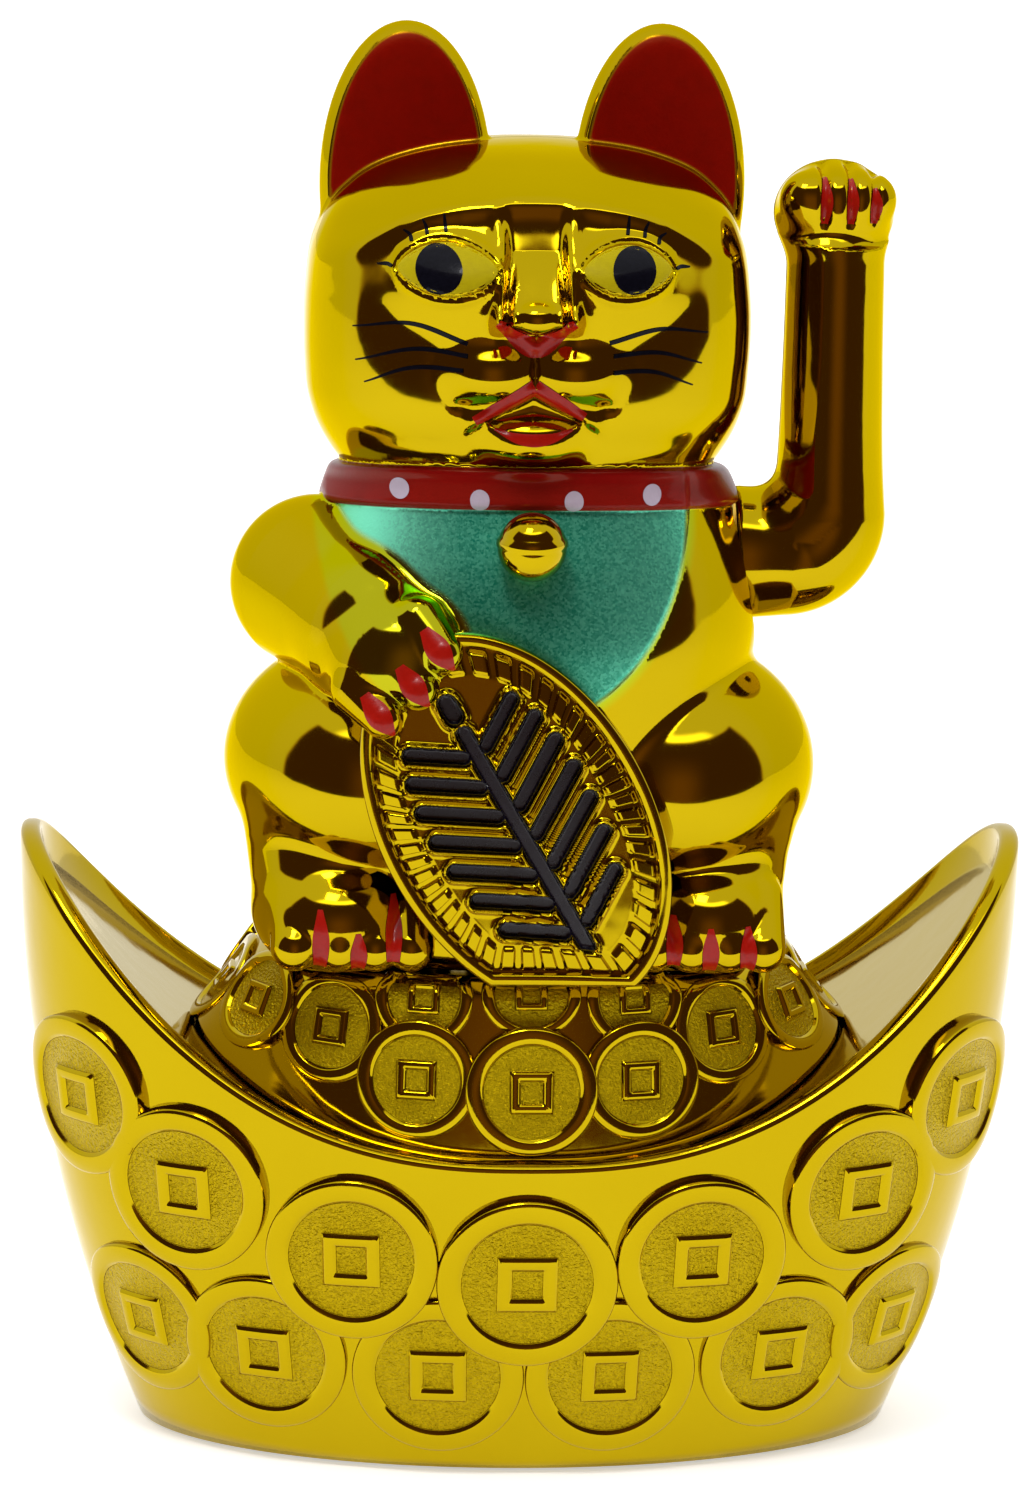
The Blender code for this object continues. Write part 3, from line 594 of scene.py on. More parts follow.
class Shader:
    """A material's node tree, with one method that makes any node."""

    MIX_SHARE, MIX_FIRST, MIX_SECOND, MIX_RESULT = 0, 6, 7, 2  # a Mix node's sockets for colours

    def __init__(self, name: str, tree: bpy.types.NodeTree | None = None) -> None:
        """Starts an empty material of this name, or takes over another tree.

        Args:
            name: Name of the material.
            tree: A tree to take over, if it isn't a new material's.
        """
        if tree is None:
            self.material = bpy.data.materials.new(name)
            self.material.use_nodes = True
            tree = self.material.node_tree
        self.tree = tree
        self.tree.nodes.clear()

    def node(self, kind: str, settings: dict[str, Any] | None = None,
             inputs: dict[Any, Any] | None = None, output: int | str = 0) -> Signal:
        """Adds a node.

        Args:
            kind: The node's type.
            settings: Its properties, set before its inputs.
            inputs: Values or signals for its sockets, by name or number.
            output: The socket to return.

        Returns:
            That socket as a signal, or the input of a node that ends a tree.
        """
        made = self.tree.nodes.new(kind)
        for key, value in (settings or {}).items():
            setattr(made, key, value)
        for key, value in (inputs or {}).items():
            if isinstance(value, Signal):
                self.tree.links.new(value.socket, made.inputs[key])
            else:
                made.inputs[key].default_value = value
        return Signal(self, made.outputs[output] if made.outputs else made.inputs[0])

    def place(self) -> Signal:
        """Position on the object, in metres."""
        return self.node("ShaderNodeTexCoord", output="Object")

    def mask(self, name: str) -> Signal:
        """A number stored on the mesh."""
        return self.node("ShaderNodeAttribute", {"attribute_name": name}, output="Fac")

    def noise(self, per_mm: float, detail: float = 2.0, rough: float = 0.5) -> Signal:
        """Cloudy noise with this many cells to a millimetre."""
        inputs = {"Vector": self.place(), "Scale": per_mm / MM, "Detail": detail, "Roughness": rough}
        return self.node("ShaderNodeTexNoise", None, inputs)

    def mix(self, share: Value, first: Value, second: Value) -> Signal:
        """Goes from the first colour to the second.

        Args:
            share: How much of the second, 0 to 1.
            first: The first colour.
            second: The second colour.

        Returns:
            The mixed colour.
        """
        ends = [end if isinstance(end, Signal) else (*end, 1.0) for end in (first, second)]
        inputs = {self.MIX_SHARE: share, self.MIX_FIRST: ends[0], self.MIX_SECOND: ends[1]}
        return self.node("ShaderNodeMix", {"data_type": "RGBA"}, inputs, self.MIX_RESULT)

    def bump(self, height: Signal, depth_mm: float, strength: float = 1.0,
             over: Signal | None = None) -> Signal:
        """A normal from a height.

        Args:
            height: The height, 0 to 1.
            depth_mm: How deep that is.
            strength: Its share of the result.
            over: Another normal that it is added to.

        Returns:
            The normal.
        """
        inputs = {"Height": height, "Distance": depth_mm * MM, "Strength": strength}
        if over is not None:
            inputs["Normal"] = over
        return self.node("ShaderNodeBump", None, inputs)

    def gold(self) -> Signal:
        """The plating's colour, a little deeper in broad clouds."""
        return self.mix(self.noise(0.035, 3.0), GOLD_DEEP, GOLD)

    def waves(self) -> Signal:
        """The slight waviness of a plated moulding."""
        return self.bump(self.noise(0.22, 1.0), 0.035)

    def finish(self, **sockets: Value) -> bpy.types.Material:
        """Closes the tree with a Principled shader.

        Args:
            **sockets: Its inputs, with _ for each space.

        Returns:
            The material.
        """
        values = {}
        for key, value in sockets.items():
            values[key.replace("_", " ")] = (*value, 1.0) if isinstance(value, tuple) else value
        surface = self.node("ShaderNodeBsdfPrincipled", None, values)
        self.node("ShaderNodeOutputMaterial", None, {"Surface": surface})
        return self.material


WHITE: Colour = (1.0, 1.0, 1.0)
GOLD: Colour = (0.485, 0.355, 0.004)
GOLD_DEEP: Colour = (0.44, 0.305, 0.003)
EDGE_GOLD: Colour = (1.0, 0.86, 0.22)
EAR_RED: Colour = (0.31, 0.0022, 0.0006)
EAR_RED_DEEP: Colour = (0.21, 0.0020, 0.0006)
COLLAR_RED: Colour = (0.30, 0.004, 0.004)
COLLAR_RED_DEEP: Colour = (0.22, 0.003, 0.003)
CLAW_RED: Colour = (0.48, 0.010, 0.004)
CLAW_RED_DEEP: Colour = (0.34, 0.005, 0.002)
BIB_GREEN: Colour = (0.004, 0.24, 0.15)
# lighter green of the bib's flakes and of its painted highlight
BIB_HIGHLIGHT_AND_FLAKES: Colour = (0.24, 0.97, 0.68)
BIB_HALO: Colour = (0.30, 0.52, 0.02)  # overspray round the bib
PLAQUE_DARK: Colour = (0.006, 0.004, 0.012)


@dataclass(frozen=True)
class GoldPlate:
    """Mirror gold plating over moulded plastic; coin discs are grained."""

    name: str = "gold_plate"
    roughness: float = 0.07
    grain_mask: str = ""
    grain_haze: float = 0.20
    dark_mask: str = ""
    edge: Colour = WHITE

    def build(self) -> bpy.types.Material:
        """Makes the material.

        Returns:
            The material.
        """
        shop = Shader(self.name)
        colour, normal = shop.gold(), shop.waves()
        rough = shop.noise(1.1, 3.0, 0.6).spread(self.roughness - 0.02, self.roughness + 0.035)
        metallic: Value = 1.0
        if self.grain_mask:
            grain = shop.mask(self.grain_mask).step(0.35, 0.75)
            pits = shop.noise(2.3, 2.0, 0.6)
            rough = rough + grain * self.grain_haze
            normal = shop.bump(pits * grain, 0.42, over=normal)
        if self.dark_mask:
            dark = shop.mask(self.dark_mask).step(0.3, 0.6)
            colour = shop.mix(dark, colour, PLAQUE_DARK)
            metallic = 1.0 - dark
            rough = rough + dark * 0.18
        return shop.finish(Base_Color=colour, Metallic=metallic, Roughness=rough, Normal=normal,
                           Specular_Tint=self.edge)


@dataclass(frozen=True)
class PaintedGold:
    """Gold plating with sprayed areas: ear panels, bib and collar; the bib has a painted highlight towards
    its sides.
    """

    name: str = "painted_gold"

    def build(self) -> bpy.types.Material:
        """Makes the material.

        Returns:
            The material.
        """
        shop = Shader(self.name)
        ear = 1.0 - shop.mask("ear_edge").step(-0.25, 0.3)
        bib = 1.0 - shop.mask("bib_edge").step(-1.0, 0.15)
        halo = 1.0 - shop.mask("bib_edge").step(-0.2, 1.6)
        band = 1.0 - shop.mask("band_edge").step(-0.1, 0.12)
        flakes = shop.node("ShaderNodeTexVoronoi", {"feature": "F1"},
                           {"Vector": shop.place(), "Scale": 3.2 / MM}, "Color")
        glint = shop.node("ShaderNodeSeparateColor", None, {0: flakes})
        mottled = shop.noise(0.9, 2.0, 0.6)
        across = shop.node("ShaderNodeSeparateXYZ", None, {"Vector": shop.place()}, "X")
        # painted highlight: the bib's green gets lighter towards its left side and a little towards its
        # right
        sheen = (1.0 - across.step(-24 * MM, -8 * MM)) * 0.95 + across.step(2 * MM, 16 * MM) * 0.2
        green = shop.mix(glint * 0.35 + mottled * 0.1 + sheen, BIB_GREEN, BIB_HIGHLIGHT_AND_FLAKES)
        red = shop.mix(shop.noise(0.5, 3.0, 0.6), EAR_RED_DEEP, EAR_RED)
        collar = shop.mix(shop.noise(0.3, 2.0), COLLAR_RED_DEEP, COLLAR_RED)
        colour = shop.mix(halo * 0.55, shop.gold(), BIB_HALO)
        colour = shop.mix(bib, colour, green)
        colour = shop.mix(ear, colour, red)
        colour = shop.mix(band, colour, collar)
        metallic = (1.0 - ear) * (1.0 - band) * (1.0 - bib * 0.14)
        rough = shop.noise(1.1, 3.0, 0.6).spread(0.05, 0.10) + bib * 0.37 + ear * 0.42 + band * 0.26
        texture = glint * bib * 0.5 + shop.noise(2.5, 2.0) * ear * 0.45 + shop.noise(1.6, 2.0) * band * 0.25
        return shop.finish(Base_Color=colour, Metallic=metallic, Roughness=rough,
                           Normal=shop.bump(texture, 0.10, 0.8, shop.waves()),
                           Coat_Weight=band * 0.2, Coat_Roughness=0.1,
                           Specular_IOR_Level=0.12, Specular_Tint=EDGE_GOLD)


@dataclass(frozen=True)
class Enamel:
    """A thin coat of brushed or printed paint."""

    name: str
    colour: Colour
    shade: Colour
    roughness: float = 0.3
    coat: float = 0.3
    gloss: float = 0.2

    def build(self) -> bpy.types.Material:
        """Makes the material.

        Returns:
            The material.
        """
        shop = Shader(self.name)
        streak = shop.noise(1.4, 3.0, 0.6)
        return shop.finish(Base_Color=shop.mix(streak, self.shade, self.colour),
                           Roughness=streak.spread(self.roughness - 0.05, self.roughness + 0.08),
                           Normal=shop.bump(streak, 0.03), Coat_Weight=self.coat, Coat_Roughness=0.08,
                           Specular_IOR_Level=self.gloss)


@dataclass(frozen=True)
class Moulded:
    """Moulded plastic or rubber with a fine spark-eroded texture."""

    name: str
    colour: Colour
    roughness: float
    grain_per_mm: float = 2.2
    grain_depth: float = 0.05
    sheen: float = 0.0

    def build(self) -> bpy.types.Material:
        """Makes the material.

        Returns:
            The material.
        """
        shop = Shader(self.name)
        cloud = shop.noise(0.09, 3.0)
        grain = shop.noise(self.grain_per_mm, 3.0, 0.6)
        low = tuple(0.8 * c for c in self.colour)
        return shop.finish(Base_Color=shop.mix(cloud, low, self.colour),
                           Roughness=grain.spread(self.roughness - 0.06, self.roughness + 0.08),
                           Normal=shop.bump(grain, self.grain_depth), Sheen_Weight=self.sheen)


class Lay(Enum):
    """Which way the marks on a metal run."""

    DRAWN = (0.15, 0.15, 3.0)
    TURNED = (3.0, 0.3, 0.3)
    CAST = (1.0, 1.0, 1.0)
    WOUND = (0.05, 0.05, 5.0)


@dataclass(frozen=True)
class Metal:
    """Bare, plated or enamelled metal with marks in one direction."""

    name: str
    colour: Colour
    roughness: float
    lay: Lay = Lay.DRAWN
    mark_depth: float = 0.03

    def build(self) -> bpy.types.Material:
        """Makes the material.

        Returns:
            The material.
        """
        shop = Shader(self.name)
        stretched = shop.node("ShaderNodeMapping", None,
                              {"Vector": shop.place(), "Scale": tuple(s / MM for s in self.lay.value)})
        marks = shop.node("ShaderNodeTexNoise", None, {"Vector": stretched, "Scale": 1.0, "Detail": 3.0})
        low = tuple(0.72 * c for c in self.colour)
        return shop.finish(Base_Color=shop.mix(marks, low, self.colour), Metallic=1.0,
                           Roughness=marks.spread(self.roughness - 0.08, self.roughness + 0.1),
                           Normal=shop.bump(marks, self.mark_depth))


# ------------------------------------------------------------ plan outlines


def outline_reach(p: Array, a: Array, b: Array, squareness: Array | float) -> tuple[Array, Array]:
    """How far out points lie in a rounded plan outline.

    Args:
        p: Points, one a row.
        a: Half sizes along X, one for each point.
        b: Half sizes along Y.
        squareness: 2 for an oval, more for a squarer outline.

    Returns:
        The reach, 1 on the outline, and its slope for each mm outwards.
    """
    u, v = np.abs(p[:, 0]) / a, np.abs(p[:, 1]) / b
    s = (u**squareness + v**squareness) ** (1 / squareness) + 1e-9
    return s, np.hypot((u / s) ** (squareness - 1) / a, (v / s) ** (squareness - 1) / b)


def oval_distance(p: Array, a: Array, b: Array, squareness: Array | float) -> Array:
    """Level distance to rounded plan outlines of half sizes a and b, one for each point."""
    reach, slope = outline_reach(p, a, b, squareness)
    return (reach - 1) / np.maximum(slope, 1e-9)


def oval_row(a: Array | float, b: Array | float, squareness: Array | float, turn: Array) -> Array:
    """Points (x, y) of a rounded plan outline.

    Args:
        a: Half size along X.
        b: Half size along Y.
        squareness: 2 for an oval, more for a squarer outline.
        turn: Angle of each point.

    Returns:
        The points, one a row.
    """
    cos, sin = np.cos(turn), np.sin(turn)
    power = 2 / squareness
    return np.stack([a * np.sign(cos) * np.abs(cos) ** power, b * np.sign(sin) * np.abs(sin) ** power], 1)


# ----------------------------------------------------------------------- cat


def section_body(p: Array, stations: Array, squareness: float | Array) -> Array:
    """Distance to an upright body given by level sections.

    Args:
        p: Points.
        stations: Rows of (z, -X half width, +X half width, front depth, rear depth).
        squareness: 2 for oval sections, more for squarer ones.

    Returns:
        Signed distances.
    """
    squares = np.column_stack([stations[:, 0], stations[:, 1:] ** 2])
    low, high = stations[0, 0], stations[-1, 0]
    ends = np.gradient(squares[:, 1:], stations[:, 0], axis=0)

    def at(level: Array) -> Array:
        """Squares of the half sizes, carried on in a straight line past both ends."""
        over, under = np.maximum(level - high, 0)[:, None], np.minimum(level - low, 0)[:, None]
        return through(squares, np.clip(level, low, high)) + over * ends[-1] + under * ends[0]

    left, front = p[:, 0] < 0, p[:, 1] < 0
    size = at(p[:, 2])
    climb = (at(p[:, 2] + 0.05) - at(p[:, 2] - 0.05)) / 0.1
    least = 0.01 * squares[:, 1:].max(0)
    half = np.sqrt(np.maximum(size, least))
    a, b = np.where(left, half[:, 0], half[:, 1]), np.where(front, half[:, 2], half[:, 3])
    s, slope = outline_reach(p, a, b, squareness)
    u, v = np.abs(p[:, 0]) / a, np.abs(p[:, 1]) / b
    share = v * v / (u * u + v * v + 1e-9)
    square = np.where(left, size[:, 0], size[:, 1])
    rise = np.where(left, climb[:, 0], climb[:, 1]) * (1 - share)
    rise = rise + np.where(front, climb[:, 2], climb[:, 3]) * share * (a / b) ** 2
    return ((s * a) ** 2 - square) / np.maximum(np.hypot(2 * s * a * a * slope, rise), 1e-6)


@dataclass(frozen=True)
class Eye:
    """One almond eye: middle, half width and half height of its opening."""

    x: float
    z: float
    wide: float
    tall: float
    pupil_x: float
    pupil: float

    def edge(self, x: Array, z: Array) -> Array:
        """Distance up or down to the lid's edge, negative inside.

        Args:
            x: Places across, in mm.
            z: Heights, in mm.

        Returns:
            Signed distances, negative inside.
        """
        u = np.clip(np.abs(x - self.x) / self.wide, 0, 1.6)
        lid = self.tall * np.sign(1 - u) * np.abs(1 - u * u) ** LID_POWER
        return np.abs(z - self.z) - lid


@dataclass(frozen=True)
class Face:
    """Relief of the cat's face, as heights over the plain head."""

    eyes: tuple[Eye, Eye] = (
        Eye(-12.8, 169.5, 7.0, 3.6, -14.0, 3.1), Eye(11.3, 169.6, 6.4, 3.4, 12.1, 2.95))
    brow_z: float = 178.3
    cheek_foot: float = 156.9
    cheek_lean: float = 0.33
    lid_z: float = 166.0
    nose_top: float = 171.8
    nose_tip: float = 164.4
    nose_rise: float = 4.5
    apex_z: float = 153.8
    lip_slope: float = 0.6
    mouth_floor: float = 146.3
    corner_away: float = 9.6
    corner_z: float = 151.0
    jowl: tuple[float, float] = (14.5, 143.6)

    def upper_lip(self, x: Array | float) -> Array | float:
        """Height of the middle of the upper lip."""
        return self.apex_z - self.lip_slope * np.abs(x - FACE_X)

    def lower_lip(self, x: Array | float) -> Array | float:
        """Height of the mouth's lower edge."""
        return self.mouth_floor + 4.8 * ((x - FACE_X) / 9.9) ** 2

    def cheeks(self, away: Array, z: Array) -> Array:
        """Height of the cheeks, which lean out between their foot and the lower lids.

        Args:
            away: Distance from the face's middle line, in mm.
            z: Heights, in mm.

        Returns:
            The heights, in mm.
        """
        foot = self.cheek_foot + 0.58 * np.maximum(away - 10.0, 0.0)
        lean = smooth_max(z - foot, 0.0 * z, 1.5) - smooth_max(z - self.lid_z, 0.0 * z, 1.5)
        height = self.cheek_lean * np.maximum(lean, 0.0) * ramp(3.0, 6.0, away) * ramp(24.0, 16.5, away)
        return height * ramp(180.0, 166.5, z)

    def eye_relief(self, p: Array, eye: Eye) -> Array:
        """Height of one eye: its hollow, the rim of its lids and its ball.

        Args:
            p: Points in mm, one a row.
            eye: The eye.

        Returns:
            The heights, in mm.
        """
        x, z = p[:, 0], p[:, 2]
        toward = 1.0 if eye.x > 0 else -1.0
        hollow = 1.5 * bump_at(p, eye.x + 0.6 * toward, eye.z + 4.4, 9.0, 3.6)
        edge = eye.edge(x, z)
        near = np.exp(-(((x - eye.x) / (eye.wide + 1.2)) ** 8))
        rim = 0.45 * np.exp(-(((edge - 0.75) / 0.75) ** 2)) * near
        ball = 1 - ((x - eye.x) / eye.wide) ** 2 - ((z - eye.z) / (eye.tall * 1.25)) ** 2
        return rim - hollow + 1.3 * np.sqrt(np.clip(ball, 0, 1)) * (1 - ramp(-0.5, 0.15, edge))

    def nose(self, away: Array, z: Array) -> Array:
        """Height of the nose: its plate, the wings that run up to the brows and the septum.

        Args:
            away: Distance from the face's middle line, in mm.
            z: Heights, in mm.

        Returns:
            The heights, in mm.
        """
        along = np.clip((self.nose_top - z) / (self.nose_top - self.nose_tip), 0, 1)
        plate = 2.1 + 0.9 * along
        height = self.nose_rise * along * (1 - ramp(plate, plate + 1.3, away)) * ramp(160.6, 163.2, z)
        wing = 4.9 - 1.1 * np.sin(math.pi * np.clip((176.0 - z) / 13.0, 0, 1)) * 0.5
        wing_fade = ramp(178.0, 173.0, z) * ramp(160.5, 163.0, z)
        height += (0.9 + 1.2 * along) * np.exp(-(((away - wing) / 1.05) ** 2)) * wing_fade
        septum = capsule_2d(away, z, (0.0, 159.4), (4.9, 163.0), 0.0)
        height += 1.5 * np.exp(-((septum / 1.5) ** 2))
        groove = np.exp(-((away / 0.75) ** 2))
        return height - 0.8 * groove * ramp(153.5, 155.0, z) * ramp(159.5, 157.5, z)

    def mouth(self, x: Array, away: Array, z: Array) -> Array:
        """Height of the mouth: its opening, the two lips and its corners.

        Args:
            x: Places across, in mm.
            away: Distance from the face's middle line, in mm.
            z: Heights, in mm.

        Returns:
            The heights, in mm.
        """
        upper, lower = self.upper_lip(x), self.lower_lip(x)
        gape = ramp(0.2, 1.4, z - lower) * ramp(0.4, 1.6, upper - z) * (1 - ramp(7.0, 9.5, away))
        lip = np.exp(-(((z - upper) / 1.15) ** 2)) * (1 - ramp(8.0, 10.0, away))
        pout = np.exp(-(((z - lower + 0.5) / 1.2) ** 2)) * (1 - ramp(4.0, 8.5, away))
        corner = np.exp(-(((away - self.corner_away) / 1.3) ** 2) - ((z - self.corner_z) / 0.9) ** 2)
        return 0.85 * lip + 0.95 * pout - 1.5 * gape - 0.9 * corner

    def relief(self, p: Array) -> Array:
        """Height over the plain head at each point.

        Args:
            p: Points in mm, one a row.

        Returns:
            The heights, in mm.
        """
        x, z = p[:, 0], p[:, 2]
        away = np.abs(x - FACE_X)
        height = self.cheeks(away, z) + self.nose(away, z) + self.mouth(x, away, z)
        height += sum(self.eye_relief(p, eye) for eye in self.eyes)
        brow = self.brow_z - 0.011 * away * away
        height += 1.2 * np.exp(-(((z - brow) / 2.0) ** 2)) * np.exp(-((away / 25) ** 6))
        for side in (-1.0, 1.0):
            height += 0.3 * bump_at(p, FACE_X + self.jowl[0] * side, self.jowl[1], 6.5, 1.6)
        return height


@dataclass
class Cat:
    """The sitting cat: its body's field, its two halves and what is painted on them."""

    face: Face = Face()
    net: float = 0.52
    foot_z: float = 71.3
    ear_x: float = 17.6
    ear_z: float = 178.0
    ear_half: tuple[float, float, float] = (11.9, 6.5, 22.2)
    ear_rim: float = 1.35
    ear_front: float = -4.4
    panel_y: float = -3.0
    collar_z: float = 136.3
    collar_tilt: float = -0.115
    collar_half: float = 2.75
    collar_stand: float = 1.2
    bib_centre: tuple[float, float] = (-4.0, 137.0)
    bib_half: tuple[float, float] = (25.3, 30.6)
    arm_face_x: float = 28.5
    pocket_radius: float = 11.6
    hole_radius: float = 3.0
    hole_floor_x: float = 24.0
    axle_z: float = 125.0
    claws: tuple[tuple[float, float], ...] = ((-12.9, 118.2), (-16.2, 113.2), (-20.8, 109.2))
    toes: tuple[float, ...] = (-32.4, -26.2, -21.3, -16.4, 17.0, 22.1, 27.2, 32.0)
    stripes: tuple[tuple[float, float, float], ...] = (
        (-28.9, 81.4, 73.2), (-23.7, 78.2, 72.8), (-18.9, 82.8, 74.2),
        (19.6, 80.6, 73.8), (24.6, 79.2, 72.7), (29.8, 79.2, 72.7))

    def __post_init__(self) -> None:
        """Sets the sections of the trunk and the head."""
        # height, half width to the left, half width to the right, depth in front, depth behind
        self.trunk_sections = np.array([
            (70.0, 33.0, 32.5, 24.0, 27.0), (80.0, 34.5, 34.0, 26.0, 29.0),
            (90.0, 34.5, 34.0, 28.0, 31.0), (100.0, 33.0, 32.0, 30.0, 31.0),
            (110.0, 31.0, 31.8, 31.5, 29.5), (118.0, 30.0, 32.6, 32.0, 28.4),
            (126.0, 29.3, 31.8, 30.6, 27.5), (133.0, 28.2, 29.4, 28.4, 26.0),
            (139.0, 26.0, 26.2, 26.0, 24.0), (144.0, 22.0, 22.0, 22.0, 20.0)])
        self.head_sections = np.array([
            (136.5, 22.0, 21.5, 21.0, 20.0), (139.5, 26.0, 25.2, 25.4, 23.0),
            (143.0, 28.6, 27.6, 26.6, 24.8), (149.0, 30.9, 29.6, 29.2, 26.9),
            (154.0, 31.4, 30.1, 30.1, 27.7), (158.0, 31.5, 30.3, 30.3, 28.0),
            (164.0, 31.3, 30.1, 29.9, 28.0), (171.5, 30.0, 28.8, 28.5, 26.4),
            (177.5, 26.2, 25.4, 24.6, 23.0), (181.5, 20.0, 19.6, 18.6, 17.8),
            (183.6, 11.5, 11.5, 11.2, 10.8), (184.4, 0.4, 0.4, 0.4, 0.4)])

    def head(self, p: Array) -> Array:
        """Distance to the head with its face and no ears.

        Args:
            p: Points in mm, one a row.

        Returns:
            Signed distances, negative inside.
        """
        square = 2.25 + 0.8 * ramp(139.0, 151.0, p[:, 2]) * ramp(182.5, 176.0, p[:, 2])
        plain = section_body(p, self.head_sections, square)
        front = ramp(-9.0, -17.0, p[:, 1])
        lobes = np.minimum(*(ellipsoid(p, (FACE_X + side, -25.6, 155.6), (7.6, 7.5, 5.3))
                             for side in (-5.5, 5.5)))
        chin = ellipsoid(p, (FACE_X, -21.5, 146.3), (9.5, 9.6, 5.0))
        tip = ellipsoid(p, (FACE_X, -33.6, 163.4), (3.3, 2.7, 2.2))
        shape = smooth_min(plain - self.face.relief(p) * front, smooth_min(lobes, chin, 2.0), 1.7)
        return smooth_min(shape, tip, 0.7)

    def ear_outline(self, p: Array) -> Array:
        """Distance in the XZ plane to the nearer ear's outline."""
        away = np.abs(p[:, 0]) - self.ear_x
        return round_distance(np.stack([away, p[:, 2] - self.ear_z], 1), self.ear_half[::2])

    def ears(self, p: Array) -> Array:
        """Distance to the two ears with their sunken panels.

        Args:
            p: Points in mm, one a row.

        Returns:
            Signed distances, negative inside.
        """
        q = np.stack([np.abs(p[:, 0]) - self.ear_x, p[:, 1], p[:, 2] - self.ear_z], 1)
        solid = round_distance(q, self.ear_half)
        solid = smooth_max(solid, self.ear_front - p[:, 1], 1.6)
        panel = np.maximum(self.ear_outline(p) + self.ear_rim, p[:, 1] - self.panel_y)
        return smooth_max(solid, -panel, 0.5)

    def holding_arm(self, p: Array) -> Array:
        """Distance to the arm that holds the plaque, with its three toes.

        Args:
            p: Points in mm, one a row.

        Returns:
            Signed distances, negative inside.
        """
        upper = capsule(p, (-29.3, -6.0, 122.8), (-21.5, -20.0, 118.8), (12.2, 10.4))
        lower = capsule(p, (-21.5, -20.0, 118.8), (-16.6, -27.5, 116.6), (10.4, 8.2))
        shape = smooth_min(upper, lower, 3.0)
        shape = smooth_min(shape, ellipsoid(p, (-19.6, -28.6, 116.4), (9.0, 7.2, 7.6), -38.0), 2.2)
        for x, z in self.claws:
            toe = capsule(p, (x - 3.2, -31.0, z + 3.4), (x, -34.6, z), (3.9, 2.8))
            shape = smooth_min(shape, toe, 0.7)
        return shape

    def haunches(self, p: Array) -> Array:
        """Distance to the two hind legs and their paws.

        Args:
            p: Points in mm, one a row.

        Returns:
            Signed distances, negative inside.
        """
        shape = np.minimum(ellipsoid(p, (-21.6, -6.0, 98.0), (20.6, 24.5, 17.2)),
                           ellipsoid(p, (20.6, -6.0, 97.6), (20.0, 24.5, 17.6)))
        shank = np.minimum(capsule(p, (-27.5, -12.0, 88.0), (-27.0, -16.0, 80.0), (11.6, 11.0)),
                           capsule(p, (26.0, -12.0, 88.0), (25.0, -16.0, 80.0), (11.0, 10.5)))
        shape = smooth_min(shape, shank, 2.0)
        for middle, half in ((-26.2, 12.0), (25.0, 10.8)):
            shape = smooth_min(shape, ellipsoid(p, (middle, -17.0, 78.5), (half, 13.4, 9.0)), 1.2)
        for x in self.toes:
            shape = smooth_min(shape, capsule(p, (x, -21.2, 81.6), (x, -27.2, 75.6), (3.3, 3.3)), 0.8)
        return shape

    def tail(self, p: Array) -> Array:
        """Distance to the tail, which curls up the back.

        Args:
            p: Points in mm, one a row.

        Returns:
            Signed distances, negative inside.
        """
        bends = np.array([(0, 0.0, 27.0, 77.0, 5.0), (1, 10.0, 30.0, 79.5, 4.8), (2, 16.5, 30.0, 87.0, 4.5),
                          (3, 15.5, 29.5, 96.0, 4.1), (4, 10.0, 29.0, 101.5, 3.5)])
        line = through(bends, np.linspace(0, 4, 15))
        shape = np.full(len(p), NOWHERE)
        for a, b in zip(line, line[1:]):
            shape = smooth_min(shape, capsule(p, a[:3], b[:3], (a[3], b[3])), 0.5)
        return shape

    def trunk(self, p: Array) -> Array:
        """Distance to the chest and back, with the bib standing a little proud.

        Args:
            p: Points in mm, one a row.

        Returns:
            Signed distances, negative inside.
        """
        plain = section_body(p, self.trunk_sections, 2.2)
        proud = 0.55 * (1 - ramp(-1.1, 0.1, self.bib_outline(p))) * ramp(2.0, -6.0, p[:, 1])
        return plain - proud

    def bib_outline(self, p: Array) -> Array:
        """Distance in the XZ plane to the bib's outline."""
        return round_distance(p[:, [0, 2]] - np.array(self.bib_centre), self.bib_half)

    def collar_level(self, p: Array) -> Array:
        """Height over the collar's middle line."""
        return p[:, 2] - self.collar_z - self.collar_tilt * p[:, 1]

    def field(self, p: Array) -> Array:
        """Signed distance to the whole cat without its waving arm.

        Args:
            p: Points in mm, one a row.

        Returns:
            Signed distances, negative inside.
        """
        head, trunk = self.head(p), self.trunk(p)
        body = smooth_min(head, trunk, 1.5)
        shape = smooth_min(trunk, self.haunches(p), 1.4)
        shape = smooth_min(shape, self.tail(p), 1.2)
        shape = smooth_min(shape, self.holding_arm(p), 1.1)
        shape = smooth_min(shape, smooth_min(head, self.ears(p), 0.8), 0.8)
        band = smooth_max(body - self.collar_stand, np.abs(self.collar_level(p)) - self.collar_half, 1.3)
        shape = smooth_min(shape, band, 0.5)
        off_axle = np.hypot(p[:, 1], p[:, 2] - self.axle_z)
        pocket = np.maximum(off_axle - self.pocket_radius, self.arm_face_x - p[:, 0])
        shape = smooth_max(shape, -pocket, 0.8)
        hole = np.maximum(off_axle - self.hole_radius, self.hole_floor_x - p[:, 0])
        shape = smooth_max(shape, -hole, 0.4)
        return smooth_max(shape, self.foot_z - p[:, 2], 0.8)

